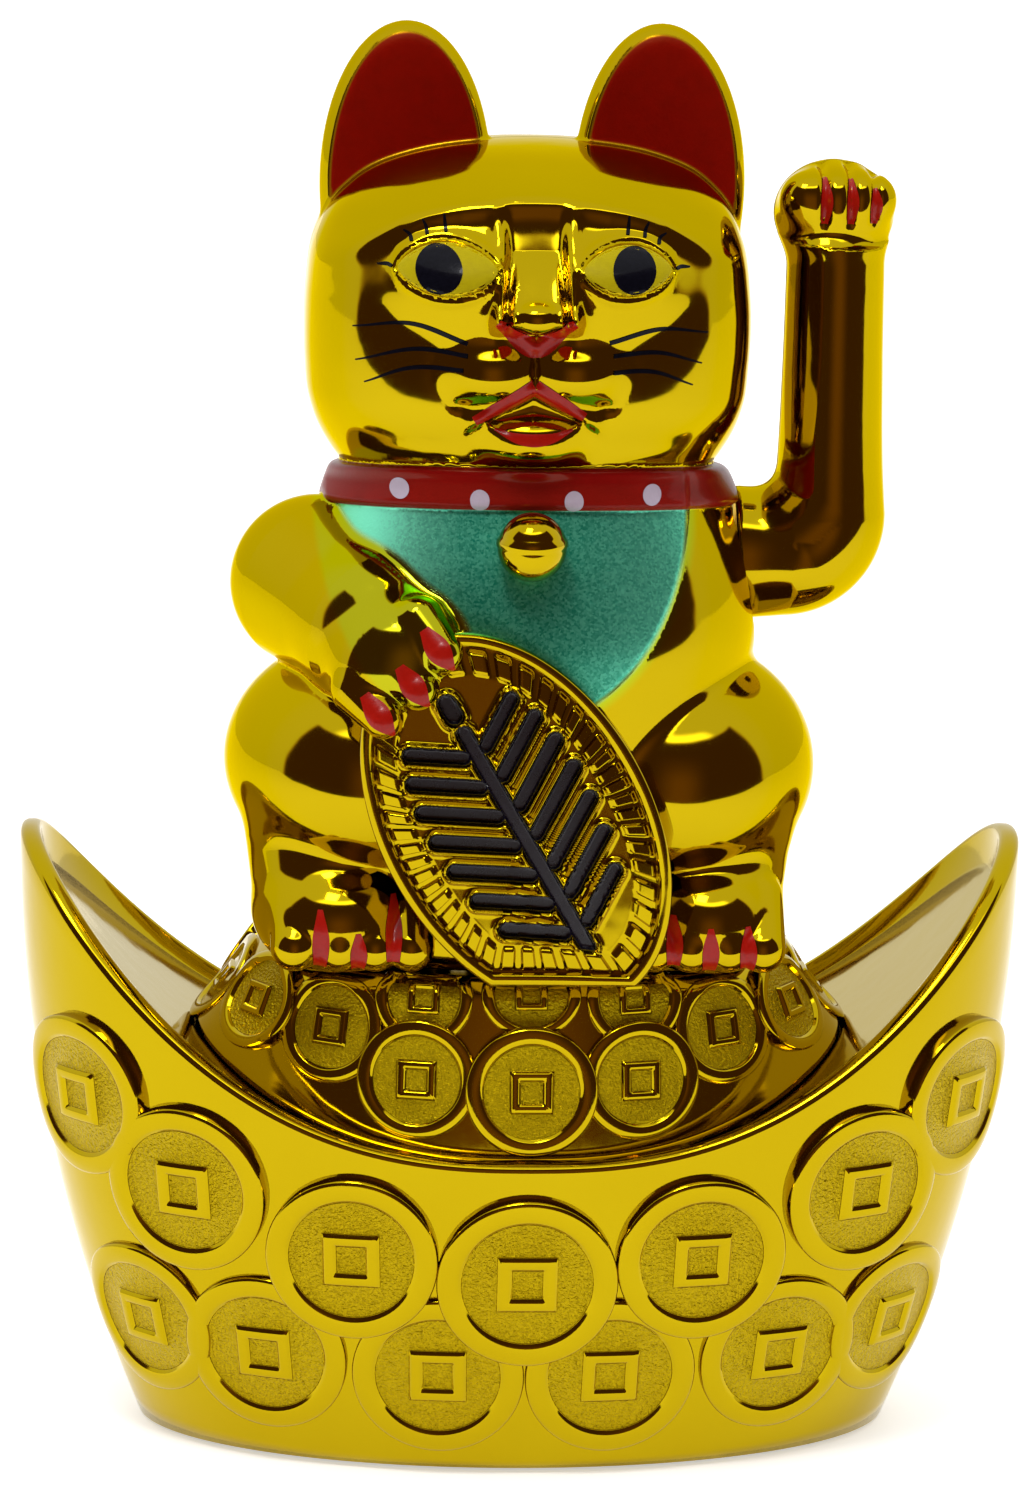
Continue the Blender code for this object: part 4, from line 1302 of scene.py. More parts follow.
    def paint_edges(self, p: Array) -> dict[str, Array]:
        """Distances to the edges of the sprayed areas, negative inside: ear panels, bib and collar.

        Args:
            p: Points in mm, one a row.

        Returns:
            The distances, by the name of the mask that keeps them.
        """
        arm, level = self.holding_arm(p), self.collar_level(p)
        ear = np.maximum(self.ear_outline(p) + self.ear_rim + 0.1, p[:, 1] + 2.3)
        ear = np.maximum(ear, 0.3 - self.head(p))
        bib = np.maximum(self.bib_outline(p), 0.6 - arm)
        bib = np.maximum(bib, np.maximum(p[:, 1] + 3.0, level - 1.0))
        band = np.maximum(np.abs(level) - self.collar_half - 0.15, 0.3 - np.minimum(arm, 9.0))
        return {"ear_edge": ear, "bib_edge": bib, "band_edge": band}

    def build(self) -> list[bpy.types.Object]:
        """Makes the two halves, painted.

        Returns:
            The pieces.
        """
        skin = skin_of(self.field, (-45.0, -40.0, 69.0), (45.0, 38.0, 203.0), self.net)
        material = PaintedGold().build()
        made = []
        for name, side in (("cat_front", -1.0), ("cat_rear", 1.0)):
            obj = half_of(name, skin, self.field, side)
            for key, values in self.paint_edges(points_of(obj)).items():
                write_mask(obj, key, np.clip(values, -5, 5))
            made.append(plated(obj, material, node=f"{name}_shell"))
        return made


# --------------------------------------------------------------- fine paint


@dataclass
class Brush:
    """Lays thin paint shapes on a surface, as seen from the front."""

    field: Field
    lift: float = 0.05

    def lay(self, x: Array, z: Array) -> Array:
        """Points on the surface under (x, z), lifted by the paint's thickness."""
        p = settle(self.field, drop_on(self.field, x, z), 2, 0.3)
        return p + self.lift * unit(gradient(self.field, p))

    def stroke(self, route: Sequence[tuple[float, float]], widths: tuple[float, float, float],
               samples: int = 22) -> Shape:
        """A brush stroke.

        Args:
            route: Points (x, z) that it passes through.
            widths: Its width at the start, the middle and the end.
            samples: Rows along it.

        Returns:
            Its points and faces.
        """
        line = np.array(route, float)
        along = np.concatenate([[0], np.cumsum(np.linalg.norm(np.diff(line, axis=0), axis=1))])
        at = np.linspace(0, along[-1], samples)
        centre = through(np.column_stack([along, line]), at)
        slope = unit(np.gradient(centre, axis=0))
        stations = np.array([(share * along[-1], width / 2) for share, width in zip((0, 0.5, 1), widths)])
        side = np.stack([-slope[:, 1], slope[:, 0]], 1) * np.maximum(through(stations, at), 0.03)
        rows = [centre + side * s for s in (-1, -0.6, -0.2, 0.2, 0.6, 1)]
        flat = np.stack(rows, 1).reshape(-1, 2)
        faces = [(6 * k + j, 6 * k + j + 1, 6 * k + j + 7, 6 * k + j + 6)
                 for k in range(samples - 1) for j in range(5)]
        return self.lay(flat[:, 0], flat[:, 1]), faces

    def patch(self, outline: Array, rings: int = 5) -> Shape:
        """A filled shape.

        Args:
            outline: Its outline as rows of (x, z).
            rings: Rings of points from its middle outwards.

        Returns:
            Its points and faces.
        """
        middle, count = outline.mean(0), len(outline)
        shares = np.linspace(0, 1, rings + 1)[1:]
        flat = np.concatenate([[middle], *[middle + s * (outline - middle) for s in shares]])
        faces = [(0, 1 + k, 1 + (k + 1) % count) for k in range(count)]
        for r in range(rings - 1):
            faces += ring_quads(1 + r * count, 1 + (r + 1) * count, count)
        return self.lay(flat[:, 0], flat[:, 1]), faces

    def disc(self, x: float, z: float, wide: float, tall: float) -> Shape:
        """A filled oval."""
        turn = np.linspace(0, 2 * math.pi, 40, endpoint=False)
        return self.patch(np.stack([x + wide * np.cos(turn), z + tall * np.sin(turn)], 1))


def paint_piece(name: str, shapes: Sequence[Shape], material: bpy.types.Material, body: str,
                field: Field) -> bpy.types.Object:
    """Joins paint shapes into one piece.

    Args:
        name: Its name.
        shapes: Points and faces of each shape.
        material: Its finish.
        body: The body that it rides on.
        field: The surface under it, for its shading.

    Returns:
        The piece.
    """
    joined, faces = join_shapes(shapes)
    slope = unit(gradient(field, joined))
    facing = []
    for face in faces:
        a, b, c = joined[face[0]], joined[face[1]], joined[face[2]]
        turned = np.cross(b - a, c - a) @ slope[face[0]] < 0
        facing.append(face[::-1] if turned else face)
    obj = make_object(name, joined, facing)
    use_normals(obj, slope)
    return plated(obj, material, body)


@dataclass
class FacePaint:
    """Eyes, lashes, whiskers, nose, lips, claws and the dots on the collar."""

    cat: Cat
    lash_set: tuple[tuple[float, float, float], ...] = (  # share of the eye's width, length, lean
        (0.02, 2.5, 0.1), (0.38, 2.4, 0.25), (0.68, 2.3, 0.45), (1.05, 1.9, 1.0))
    nose_line: tuple[tuple[float, float], ...] = ((-6.2, 162.9), (FACE_X, 159.2), (4.2, 162.9))
    upper_spans: tuple[tuple[float, ...], ...] = ((-8.9, -4.9, FACE_X), (5.9, 2.3, FACE_X))
    lower_span: tuple[float, ...] = (-6.2, -3.6, FACE_X, 1.8, 4.4)
    dots: tuple[tuple[float, float], ...] = ((-18.6, 138.7), (-7.9, 137.9), (4.8, 137.9), (15.6, 138.4))

    def almond(self, eye: Eye, shrink: float) -> Array:
        """Outline of an eye's opening, drawn in by shrink.

        Args:
            eye: The eye.
            shrink: How far inside its opening, in mm.

        Returns:
            The outline, as rows of (x, z).
        """
        turn = np.linspace(0, 2 * math.pi, 64, endpoint=False)
        u = np.cos(turn)
        tall = (eye.tall - shrink) * np.abs(1 - u * u) ** LID_POWER * np.sign(np.sin(turn))
        return np.stack([eye.x + (eye.wide - 1.6 * shrink) * u, eye.z + tall], 1)

    def whiskers(self) -> list[Sequence[tuple[float, float]]]:
        """Routes of the six whiskers.

        Returns:
            Their routes.
        """
        left = [((-10.0, 159.6), (-17.4, 162.0), (-25.2, 161.0)),
                ((-10.0, 158.0), (-16.8, 158.6), (-24.8, 156.5)),
                ((-10.6, 156.1), (-18.0, 155.9), (-23.6, 153.6))]
        right = [((9.0, 159.9), (16.0, 161.6), (22.6, 160.8)),
                 ((9.6, 158.1), (16.0, 158.4), (21.8, 156.7)),
                 ((9.6, 155.9), (15.3, 155.8), (20.6, 153.8))]
        return left + right

    def lashes(self) -> list[Sequence[tuple[float, float]]]:
        """Routes of the lashes.

        Returns:
            Their routes.
        """
        found = []
        for eye, toward in zip(self.cat.face.eyes, (-1.0, 1.0)):
            for share, length, lean in self.lash_set:
                x = eye.x + toward * eye.wide * share
                lid = eye.tall * max(1 - share * share, 0.0) ** LID_POWER
                z = eye.z + lid + 1.0 * (share < 1)
                found.append(((x, z), (x + toward * 0.15, z + length * 0.5 * (1.1 - lean)),
                              (x + toward * length * lean, z + length * (1.05 - lean))))
        return found

    def build(self) -> list[bpy.types.Object]:
        """Makes each colour of paint as one piece.

        Returns:
            The pieces.
        """
        field, face = self.cat.field, self.cat.face
        thin, mid, thick = Brush(field, 0.04), Brush(field, 0.08), Brush(field, 0.12)
        black = Enamel("black_enamel", (0.006, 0.006, 0.012), (0.002, 0.002, 0.004), 0.2, 0.08, 0.06)
        yellow = Enamel("eye_yellow", (0.56, 0.47, 0.006), (0.46, 0.37, 0.005), 0.4, 0.0, 0.03)
        red = Enamel("red_enamel", CLAW_RED, CLAW_RED_DEEP, 0.3, 0.15)
        pale = Enamel("pale_enamel", (0.62, 0.55, 0.66), (0.50, 0.42, 0.55), 0.3, 0.4)
        eyes = [thin.patch(self.almond(eye, 0.25), 8) for eye in face.eyes]
        pupils = [mid.disc(eye.pupil_x, eye.z + 0.05, eye.pupil, eye.pupil * 1.02) for eye in face.eyes]
        lines = [thick.stroke(route, (0.60, 0.56, 0.22)) for route in self.whiskers()]
        lines += [thick.stroke(route, (0.50, 0.46, 0.24), 10) for route in self.lashes()]
        nose = [mid.stroke(self.nose_line, (1.1, 2.9, 1.1), 30)]
        lips = [mid.stroke([(x, float(face.upper_lip(x))) for x in span], (1.2, 2.0, 2.3), 18)
                for span in self.upper_spans]
        lips.append(mid.stroke([(x, float(face.lower_lip(x)) + 0.3) for x in self.lower_span],
                               (0.3, 1.7, 0.3), 24))
        claws = [mid.stroke(((x - 2.6, z + 3.4), (x - 0.8, z + 0.9), (x + 1.5, z - 2.0)),
                            (1.4, 3.3, 0.4), 26) for x, z in self.cat.claws]
        claws += [mid.stroke(((x, top), (x + 0.1, (top + foot) / 2), (x, foot)), (0.7, 2.3, 1.8), 26)
                  for x, top, foot in self.cat.stripes]
        dots = [mid.disc(x, z, 1.3, 1.4) for x, z in self.dots]
        rows = (("eye_whites", eyes, yellow), ("black_lines", pupils + lines, black),
                ("red_details", nose + lips + claws, red), ("collar_dots", dots, pale))
        return [paint_piece(name, shapes, finish.build(), "base", field) for name, shapes, finish in rows]


# --------------------------------------------------------------- waving arm


@dataclass
class WavingArm:
    """The raised arm with its closed paw, moulded in two halves."""

    net: float = 0.46
    root_x: float = 29.0
    axle_z: float = 125.0
    upper_z: float = 126.4
    forearm_x: float = 42.5
    wrist_z: float = 170.0
    bend: float = 6.0
    crook: float = 4.0
    depth_share: float = 0.77
    girths: tuple[tuple[float, float], ...] = (  # place along the arm from the elbow, radius
        (-20.0, 9.5), (-6.0, 9.3), (0.0, 8.8), (5.0, 8.3),
        (9.4, 7.9), (14.0, 7.55), (30.0, 7.0), (45.0, 6.8))
    stripe_x: tuple[float, ...] = (40.0, 43.6, 46.9)
    stripe_top: tuple[float, ...] = (179.8, 179.7, 178.5)

    def limb(self, p: Array) -> Array:
        """Distance to the arm up to its wrist: level from the shoulder, round the elbow, then up.

        Args:
            p: Points in mm, one a row.

        Returns:
            Signed distances, negative inside.
        """
        x, z = p[:, 0] - self.forearm_x + self.bend, p[:, 2] - self.upper_z - self.bend
        turned = self.bend * np.clip(np.arctan2(x, -z), 0.0, math.pi / 2)
        quarter = self.bend * math.pi / 2
        girth = np.array(self.girths)

        def tube(off: Array, along: Array) -> Array:
            """Distance to the skin of a stretch of the arm.

            Args:
                off: Distance from the arm's middle line, in mm.
                along: Place along it from the elbow, in mm.

            Returns:
                Signed distances, negative inside.
            """
            place = np.clip(along, girth[0, 0], girth[-1, 0])
            share = 1.0 - (1.0 - self.depth_share) * ramp(-7.0, 3.0, along)
            return np.hypot(off, p[:, 1] * share) - through(girth, place)[:, 0]

        level = tube(np.hypot(np.maximum(x, 0), z + self.bend), np.minimum(x, 0))
        upright = tube(np.hypot(x - self.bend, np.minimum(z, 0)), np.maximum(z, 0) + quarter)
        upright = np.maximum(upright, p[:, 2] - self.wrist_z)
        elbow = tube(np.abs(np.hypot(x, z) - self.bend), turned)
        elbow = np.where((x >= 0) & (z <= 0), elbow, NOWHERE)
        return np.minimum(smooth_min(level, upright, self.crook), elbow)

    def field(self, p: Array) -> Array:
        """Signed distance to the arm.

        Args:
            p: Points in mm, one a row.

        Returns:
            Signed distances, negative inside.
        """
        paw = ellipsoid(p, (42.1, 0.2, 174.4), (8.4, 7.8, 7.4))
        knuckles = capsule(p, (37.6, -4.9, 176.9), (46.8, -4.9, 176.9), (3.3, 3.2))
        paw = smooth_min(paw, knuckles, 3.0)
        front = ramp(172.5, 174.5, p[:, 2]) * ramp(2.0, -2.0, p[:, 1])
        for x in self.stripe_x:
            paw = paw + 0.75 * np.exp(-(((p[:, 0] - x) / 0.7) ** 2)) * front
        pad = ellipsoid(p, (41.4, -4.6, 170.6), (4.4, 3.2, 2.0))
        paw = smooth_min(paw, pad, 0.9)
        shape = smooth_min(self.limb(p), paw, 2.2)
        return smooth_max(shape, self.root_x - p[:, 0], 0.9)

    def build(self) -> list[bpy.types.Object]:
        """Makes the two halves and the red stripes on the paw.

        Returns:
            The pieces.
        """
        skin = skin_of(self.field, (27.0, -14.0, 112.0), (54.0, 14.0, 184.0), self.net)
        material = GoldPlate("arm_gold", edge=EDGE_GOLD).build()
        made = [plated(half_of(name, skin, self.field, side), material, "arm", f"{name}_shell")
                for name, side in (("arm_front", -1.0), ("arm_rear", 1.0))]
        brush = Brush(self.field, 0.08)
        stripes = [brush.stroke(((x, top), (x + 0.2, 177.0), (x, 173.6)), (0.7, 1.7, 1.0), 26)
                   for x, top in zip(self.stripe_x, self.stripe_top)]
        red = Enamel("paw_red", CLAW_RED, CLAW_RED_DEEP, 0.3, 0.15)
        made.append(paint_piece("paw_stripes", stripes, red.build(), "arm", self.field))
        return made


# ---------------------------------------------------------- plaque and bell


@dataclass
class Plaque:
    """The oval plaque held against the belly, with a fern in relief."""

    x: float = -2.5
    z: float = 94.5
    half: tuple[float, float] = (18.3, 28.5)
    lean: float = 30.2
    foot_z: float = 71.7
    front_y: float = -33.0
    tilt: float = -0.03
    back_y: float = -26.0
    rings: int = 112
    spokes: int = 720
    notches: int = 44
    rim: float = 1.7
    notch: tuple[float, float] = (1.9, 5.8)

    def fern(self, u: Array, w: Array) -> Array:
        """Distance in the plaque's plane to the fern's stem and leaves.

        Args:
            u: Places across the plane.
            w: Places along it.

        Returns:
            Signed distances, negative inside.
        """
        shape = capsule_2d(u, w, (0.0, -20.0), (0.0, 14.6), 1.05)
        for k in range(7):
            root = -17.4 + 4.7 * k
            reach = 10.6 * math.sqrt(max(0.12, 1 - ((root + 4) / 22.0) ** 2))
            for side in (-1.0, 1.0):
                tip = (side * reach, root + 0.62 * reach)
                shape = np.minimum(shape, capsule_2d(u, w, (side * 1.7, root + 0.8), tip, 1.02))
        return np.minimum(shape, capsule_2d(u, w, (0.0, 17.4), (0.0, 19.4), 1.25))

    def heights(self, u: Array, w: Array, edge: Array, turn: Array) -> tuple[Array, Array]:
        """Relief and dark paint.

        Args:
            u: Place across the plaque.
            w: Place along it.
            edge: Distance from the outline.
            turn: Angle round the plaque.

        Returns:
            The height at each point and how dark it is, 0 to 1.
        """
        bead = 1.2 * np.sqrt(np.clip(1 - ((edge - self.rim / 2) / (self.rim / 2 + 0.25)) ** 2, 0, 1))
        wave = 0.5 + 0.5 * np.cos(self.notches * turn)
        start, end = self.notch
        ridge = ramp(0.16, 0.5, wave) * ramp(start, start + 0.8, edge)
        ridge *= 1 - ramp(end - 1.2, end - 0.2, edge)
        slope = 0.1 + 1.15 * np.clip((edge - start) / (end - start), 0, 1)
        height = np.where(edge < self.rim, bead, slope + 0.75 * ridge)
        fern = self.fern(u, w)
        inner = ramp(end - 0.8, end + 0.2, edge)
        outline = np.exp(-(((fern - 0.42) / 0.34) ** 2))
        field = 1.2 + 0.85 * outline - 1.1 * ramp(0.05, -0.3, fern)
        height = height * (1 - inner) + field * inner
        dark = ramp(0.05, -0.2, fern) * inner
        return height, dark

    def build(self) -> list[bpy.types.Object]:
        """Makes the plaque as a closed piece.

        Returns:
            The pieces.
        """
        lean = math.radians(self.lean)
        turn = np.linspace(0, 2 * math.pi, self.spokes, endpoint=False)
        reach = 1 / np.hypot(np.cos(turn) / self.half[0], np.sin(turn) / self.half[1])
        down = -np.sin(turn + lean)
        to_foot = (self.z - self.foot_z) / np.maximum(down, 1e-3)
        reach = np.minimum(reach, np.where(down > 1e-3, to_foot, NOWHERE))
        shares = np.linspace(0, 1, self.rings + 1)[1:]
        rho = np.repeat(shares, self.spokes)
        angle, length = np.tile(turn, self.rings), np.tile(reach, self.rings)
        u, w = rho * length * np.cos(angle), rho * length * np.sin(angle)
        edge = (1 - rho) * length * 0.93
        height, dark = self.heights(u, w, edge, angle)
        middle = self.heights(np.zeros(1), np.zeros(1), np.full(1, 15.0), np.zeros(1))
        u, w = np.append(u, 0.0), np.append(w, 0.0)
        height, dark = np.append(height, middle[0]), np.append(dark, middle[1])
        x = self.x + u * math.cos(lean) - w * math.sin(lean)
        z = self.z + u * math.sin(lean) + w * math.cos(lean)
        y = self.front_y + self.tilt * (z - self.z) - height
        front = np.stack([x, y, z], 1)
        rim = front[(self.rings - 1) * self.spokes: self.rings * self.spokes]
        sides = [np.stack([rim[:, 0], np.full(self.spokes, at), rim[:, 2]], 1)
                 for at in (self.front_y + 0.6, self.back_y)]
        points = np.concatenate([front, *sides])
        n, last = self.spokes, self.rings * self.spokes
        faces: list[tuple[int, ...]] = [(last, k, (k + 1) % n) for k in range(n)]
        starts = [r * n for r in range(self.rings)] + [last + 1, last + 1 + n]
        for low, high in zip(starts, starts[1:]):
            faces += ring_quads(low, high, n)
        faces.append(tuple(starts[-1] + k for k in range(n)))
        obj = make_object("plaque", points, faces)
        outward(obj)
        obj.data.set_sharp_from_angle(angle=math.radians(50))
        write_mask(obj, "dark_paint", np.concatenate([dark, np.zeros(2 * n)]))
        return [plated(obj, GoldPlate("plaque_gold", 0.09, dark_mask="dark_paint").build())]


def turned_piece(name: str, profile: Sequence[tuple[float, float]], centre: Sequence[float],
                 sides: int = 64) -> bpy.types.Object:
    """A closed piece turned about a vertical axis.

    Args:
        name: Its name.
        profile: (radius, height) from its top to its bottom, both on the axis.
        centre: Place of height 0.
        sides: Points round it.

    Returns:
        The object.
    """
    turn = np.linspace(0, 2 * math.pi, sides, endpoint=False)
    rows = [np.stack([r * np.cos(turn), r * np.sin(turn), np.full(sides, h)], 1) for r, h in profile[1:-1]]
    points = np.concatenate([*rows, [(0, 0, profile[0][1]), (0, 0, profile[-1][1])]]) + np.asarray(centre)
    top, last = len(rows) * sides, (len(rows) - 1) * sides
    faces: list[tuple[int, ...]] = [(top, k, (k + 1) % sides) for k in range(sides)]
    faces += [(top + 1, last + (k + 1) % sides, last + k) for k in range(sides)]
    for r in range(len(rows) - 1):
        faces += ring_quads(r * sides, (r + 1) * sides, sides)
    obj = make_object(name, points, faces)
    outward(obj)
    return obj


@dataclass
class Bell:
    """The round bell under the collar, with a raised girdle."""

    centre: tuple[float, float, float] = (-1.0, -32.6, 132.4)
    radius: float = 4.7
    girdle: float = 0.22

    def build(self) -> list[bpy.types.Object]:
        """Makes the bell.

        Returns:
            The pieces.
        """
        profile = [(0.0, self.radius)]
        for k in range(1, 40):
            angle = math.pi * k / 40
            height = self.radius * math.cos(angle)
            band = math.exp(-((height - 0.7) / 0.6) ** 6)
            profile.append((self.radius * math.sin(angle) + self.girdle * band, height))
        profile.append((0.0, -self.radius))
        obj = turned_piece("bell", profile, self.centre)
        return [plated(obj, GoldPlate("bell_gold", 0.06).build())]


# -------------------------------------------------------- ingot and mound


def ring_piece(name: str, rows: Sequence[Array]) -> bpy.types.Object:
    """A closed ring-shaped piece from rows of points round it; the last row joins the first.

    Args:
        name: Its name.
        rows: The rows.

    Returns:
        The piece.
    """
    count = len(rows[0])
    faces = []
    for r in range(len(rows)):
        faces += ring_quads(r * count, (r + 1) % len(rows) * count, count, flip=True)
    obj = make_object(name, np.concatenate(rows), faces)
    outward(obj)
    return obj


@dataclass(frozen=True)
class Coin:
    """One coin in relief: its place, its radius, its lift, and whether it is at the rear or an end."""

    x: float
    z: float
    radius: float
    lift: float = 0.0
    rear: bool = False
    end: bool = False


def all_round(places: Sequence[tuple[float, float, float, float]]) -> list[Coin]:
    """Coins at these places, repeated to the left and on the rear.

    Args:
        places: (x, z, radius, lift) of each; one within 1 mm of the middle has no twin to the left.

    Returns:
        The coins.
    """
    return [Coin(side * x, z, radius, lift, rear) for x, z, radius, lift in places
            for side in ((-1.0, 1.0) if x > 1 else (1.0,)) for rear in (False, True)]


COIN_RINGS = (
    # share of the radius, how square the ring is, height, grain
    (1.0, 0.0, -0.5, 0.0), (1.0, 0.0, 0.55, 0.0), (0.985, 0.0, 0.82, 0.0), (0.955, 0.0, 0.95, 0.0),
    (0.87, 0.0, 1.0, 0.0), (0.785, 0.0, 0.95, 0.0), (0.755, 0.0, 0.82, 0.0), (0.735, 0.0, 0.45, 0.3),
    (0.71, 0.0, 0.34, 1.0), (0.62, 0.0, 0.34, 1.0), (0.50, 0.25, 0.34, 1.0), (0.40, 0.8, 0.34, 1.0),
    (0.345, 1.0, 0.34, 1.0), (0.325, 1.0, 0.45, 0.3), (0.305, 1.0, 0.86, 0.0), (0.285, 1.0, 0.94, 0.0),
    (0.215, 1.0, 0.94, 0.0), (0.195, 1.0, 0.86, 0.0), (0.175, 1.0, 0.45, 0.3), (0.155, 1.0, 0.34, 1.0),
    (0.08, 1.0, 0.34, 1.0))


@dataclass
class CoinField:
    """Coins laid over a curved surface, each with a flat rim and a square hole's frame."""

    field: Field
    coins: Sequence[Coin]
    sides: int = 72

    def coin(self, coin: Coin) -> tuple[Array, list[tuple[int, ...]], Array]:
        """Points, faces and grain of one coin.

        Args:
            coin: The coin.

        Returns:
            Its points, its faces and the grain at each point.
        """
        face = 1.0 if coin.rear else -1.0
        spot = np.array([[coin.x, 0.0, coin.z]])
        if not coin.end:
            spot = drop_on(self.field, spot[:, 0], spot[:, 2], face * 60.0, -face)
        spot = settle(self.field, spot, 8, 2.0)
        out = unit(gradient(self.field, spot))[0]
        across = unit(np.cross((0.0, 0.0, 1.0), out)[None])[0]
        up = np.cross(out, across)
        turn = np.linspace(0, 2 * math.pi, self.sides, endpoint=False) + math.pi / 4
        cos, sin = np.cos(turn), np.sin(turn)
        square = 1 / np.maximum(np.abs(cos), np.abs(sin))
        flat, heights, grains = [], [], []
        for share, squared, height, grain in COIN_RINGS:
            reach = share * coin.radius * (1 - squared + squared * square)
            flat.append(np.stack([reach * cos, reach * sin], 1))
            heights += [height + coin.lift * (height > 0)] * self.sides
            grains += [grain] * self.sides
        flat = np.concatenate([*flat, [(0.0, 0.0)]])
        heights.append(COIN_RINGS[-1][2] + coin.lift)
        grains.append(1.0)
        base = settle(self.field, spot + flat[:, :1] * across + flat[:, 1:] * up, 4, 3.0)
        points = base + np.array(heights)[:, None] * unit(gradient(self.field, base, 0.4))
        n, last = self.sides, len(COIN_RINGS) * self.sides
        faces = []
        for r in range(len(COIN_RINGS) - 1):
            faces += ring_quads(r * n, (r + 1) * n, n, flip=True)
        faces += [(last - n + k, last - n + (k + 1) % n, last) for k in range(n)]
        return points, faces, np.array(grains)

    def build(self, name: str, material: bpy.types.Material) -> bpy.types.Object:
        """Makes all coins as one piece.

        Args:
            name: Name of the piece.
            material: Its finish.

        Returns:
            The piece.
        """
        parts = [self.coin(coin) for coin in self.coins]
        obj = make_object(name, *join_shapes([part[:2] for part in parts]))
        obj.data.set_sharp_from_angle(angle=math.radians(60))
        write_mask(obj, "grain", np.concatenate([part[2] for part in parts]))
        return plated(obj, material)


@dataclass
class Ingot:
    """The boat-shaped ingot with two rows of coins, and the mound of coins in it."""

    foot_half: tuple[float, float] = (53.5, 27.8)
    tip_half: tuple[float, float] = (70.8, 38.4)
    foot_z: float = 0.8
    low_z: float = 47.0
    tip_z: float = 87.0
    saddle_power: float = 2.58
    flare_power: float = 2.1
    squareness: float = 2.2
    rim_width: float = 3.0
    rim_rounding: tuple[tuple[float, float], ...] = (  # inset, drop
        (0.12, 0.6), (0.45, 0.18), (0.95, 0.0), (1.7, 0.0), (2.3, 0.12), (2.75, 0.5), (2.95, 1.0))
    deck_drop: float = 1.6
    opening: tuple[float, float] = (42.5, 27.0)
    stations: int = 300
    wall_rows: int = 30

    def half_at(self, z: Array) -> tuple[Array, Array, Array]:
        """Half sizes of the plan at a height, and how square it is.

        Args:
            z: Heights, in mm.

        Returns:
            The half sizes along X and Y, and the squareness.
        """
        rise = 1 - np.maximum(0.0, 1 - np.asarray(z, float) / self.tip_z) ** self.flare_power
        a, b = (low + (high - low) * rise for low, high in zip(self.foot_half, self.tip_half))
        return a, b, 2 + (self.squareness - 2) * rise

    def saddle(self, x: Array) -> Array:
        """Height of the rim over x."""
        share = np.minimum(1.0, np.abs(x) / self.tip_half[0])
        return self.low_z + (self.tip_z - self.low_z) * share**self.saddle_power

    def field(self, p: Array) -> Array:
        """Distance to the outer wall, carried on above the rim."""
        a, b, squareness = self.half_at(np.clip(p[:, 2], 0.0, self.tip_z))
        return oval_distance(p, a, b, squareness)

    def wall_point(self, z: Array, turn: Array, inset: Array | float = 0.0) -> Array:
        """Points of the wall at these heights and angles."""
        a, b, squareness = self.half_at(z)
        return np.column_stack([oval_row(a - inset, b - inset, squareness, turn), z])

    def rows(self) -> list[Array]:
        """Rows of points round the shell: up the wall, over the rim, down the trough and back inside.

        Returns:
            The rows, each closed on itself.
        """
        turn = np.linspace(0, 2 * math.pi, self.stations, endpoint=False)
        top = np.full(self.stations, self.low_z)
        for _ in range(14):
            top = (top + self.saddle(self.wall_point(top, turn)[:, 0])) / 2
        rows = []
        for share in np.linspace(0, 1, self.wall_rows):
            rows.append(self.wall_point(self.foot_z + (top - 1.2 - self.foot_z) * share, turn))
        for inset, drop in self.rim_rounding:
            row = self.wall_point(top, turn, inset)
            row[:, 2] = top - drop
            rows.append(row)
        edge = self.wall_point(top, turn, self.rim_width)[:, :2]
        lip = oval_row(*self.opening, self.squareness, turn)
        deck = []
        for share in (0.0, 0.04, 0.12, 0.25, 0.4, 0.55, 0.7, 0.85, 1.0):
            level = edge + (lip - edge) * share
            deck.append(np.column_stack([level, self.saddle(level[:, 0]) - self.deck_drop]))
        rows += deck
        rows += [row - np.array((0, 0, WALL)) for row in reversed(deck[2:])]
        inner_top = deck[0][:, 2] - 2 * WALL
        for share in (1.0, 0.66, 0.33, 0.0):
            rows.append(self.wall_point(self.foot_z + (inner_top - self.foot_z) * share, turn, WALL))
        return rows

    def coins(self) -> list[Coin]:
        """The coins round the wall; the front ones repeat on the rear.

        Returns:
            The coins.
        """
        upper = [(0.0, 30.0, 12.5, 0.8), (24.1, 33.0, 12.0, 0.8),
                 (47.0, 41.2, 12.1, 0.8), (61.5, 52.3, 11.6, 0.8)]
        lower = [(12.0, 15.4, 12.0, 0.0), (36.0, 17.2, 12.0, 0.0), (52.8, 19.4, 11.6, 0.0)]
        return all_round(upper + lower)

    def build(self) -> list[bpy.types.Object]:
        """Makes the shell and its coins.

        Returns:
            The pieces.
        """
        shell = plated(ring_piece("ingot_body", self.rows()), GoldPlate("ingot_gold", 0.08).build(),
                       node="ingot_shell")
        coins = CoinField(self.field, self.coins()).build(
            "ingot_coins", GoldPlate("coin_gold", 0.08, grain_mask="grain").build())
        return [shell, coins]


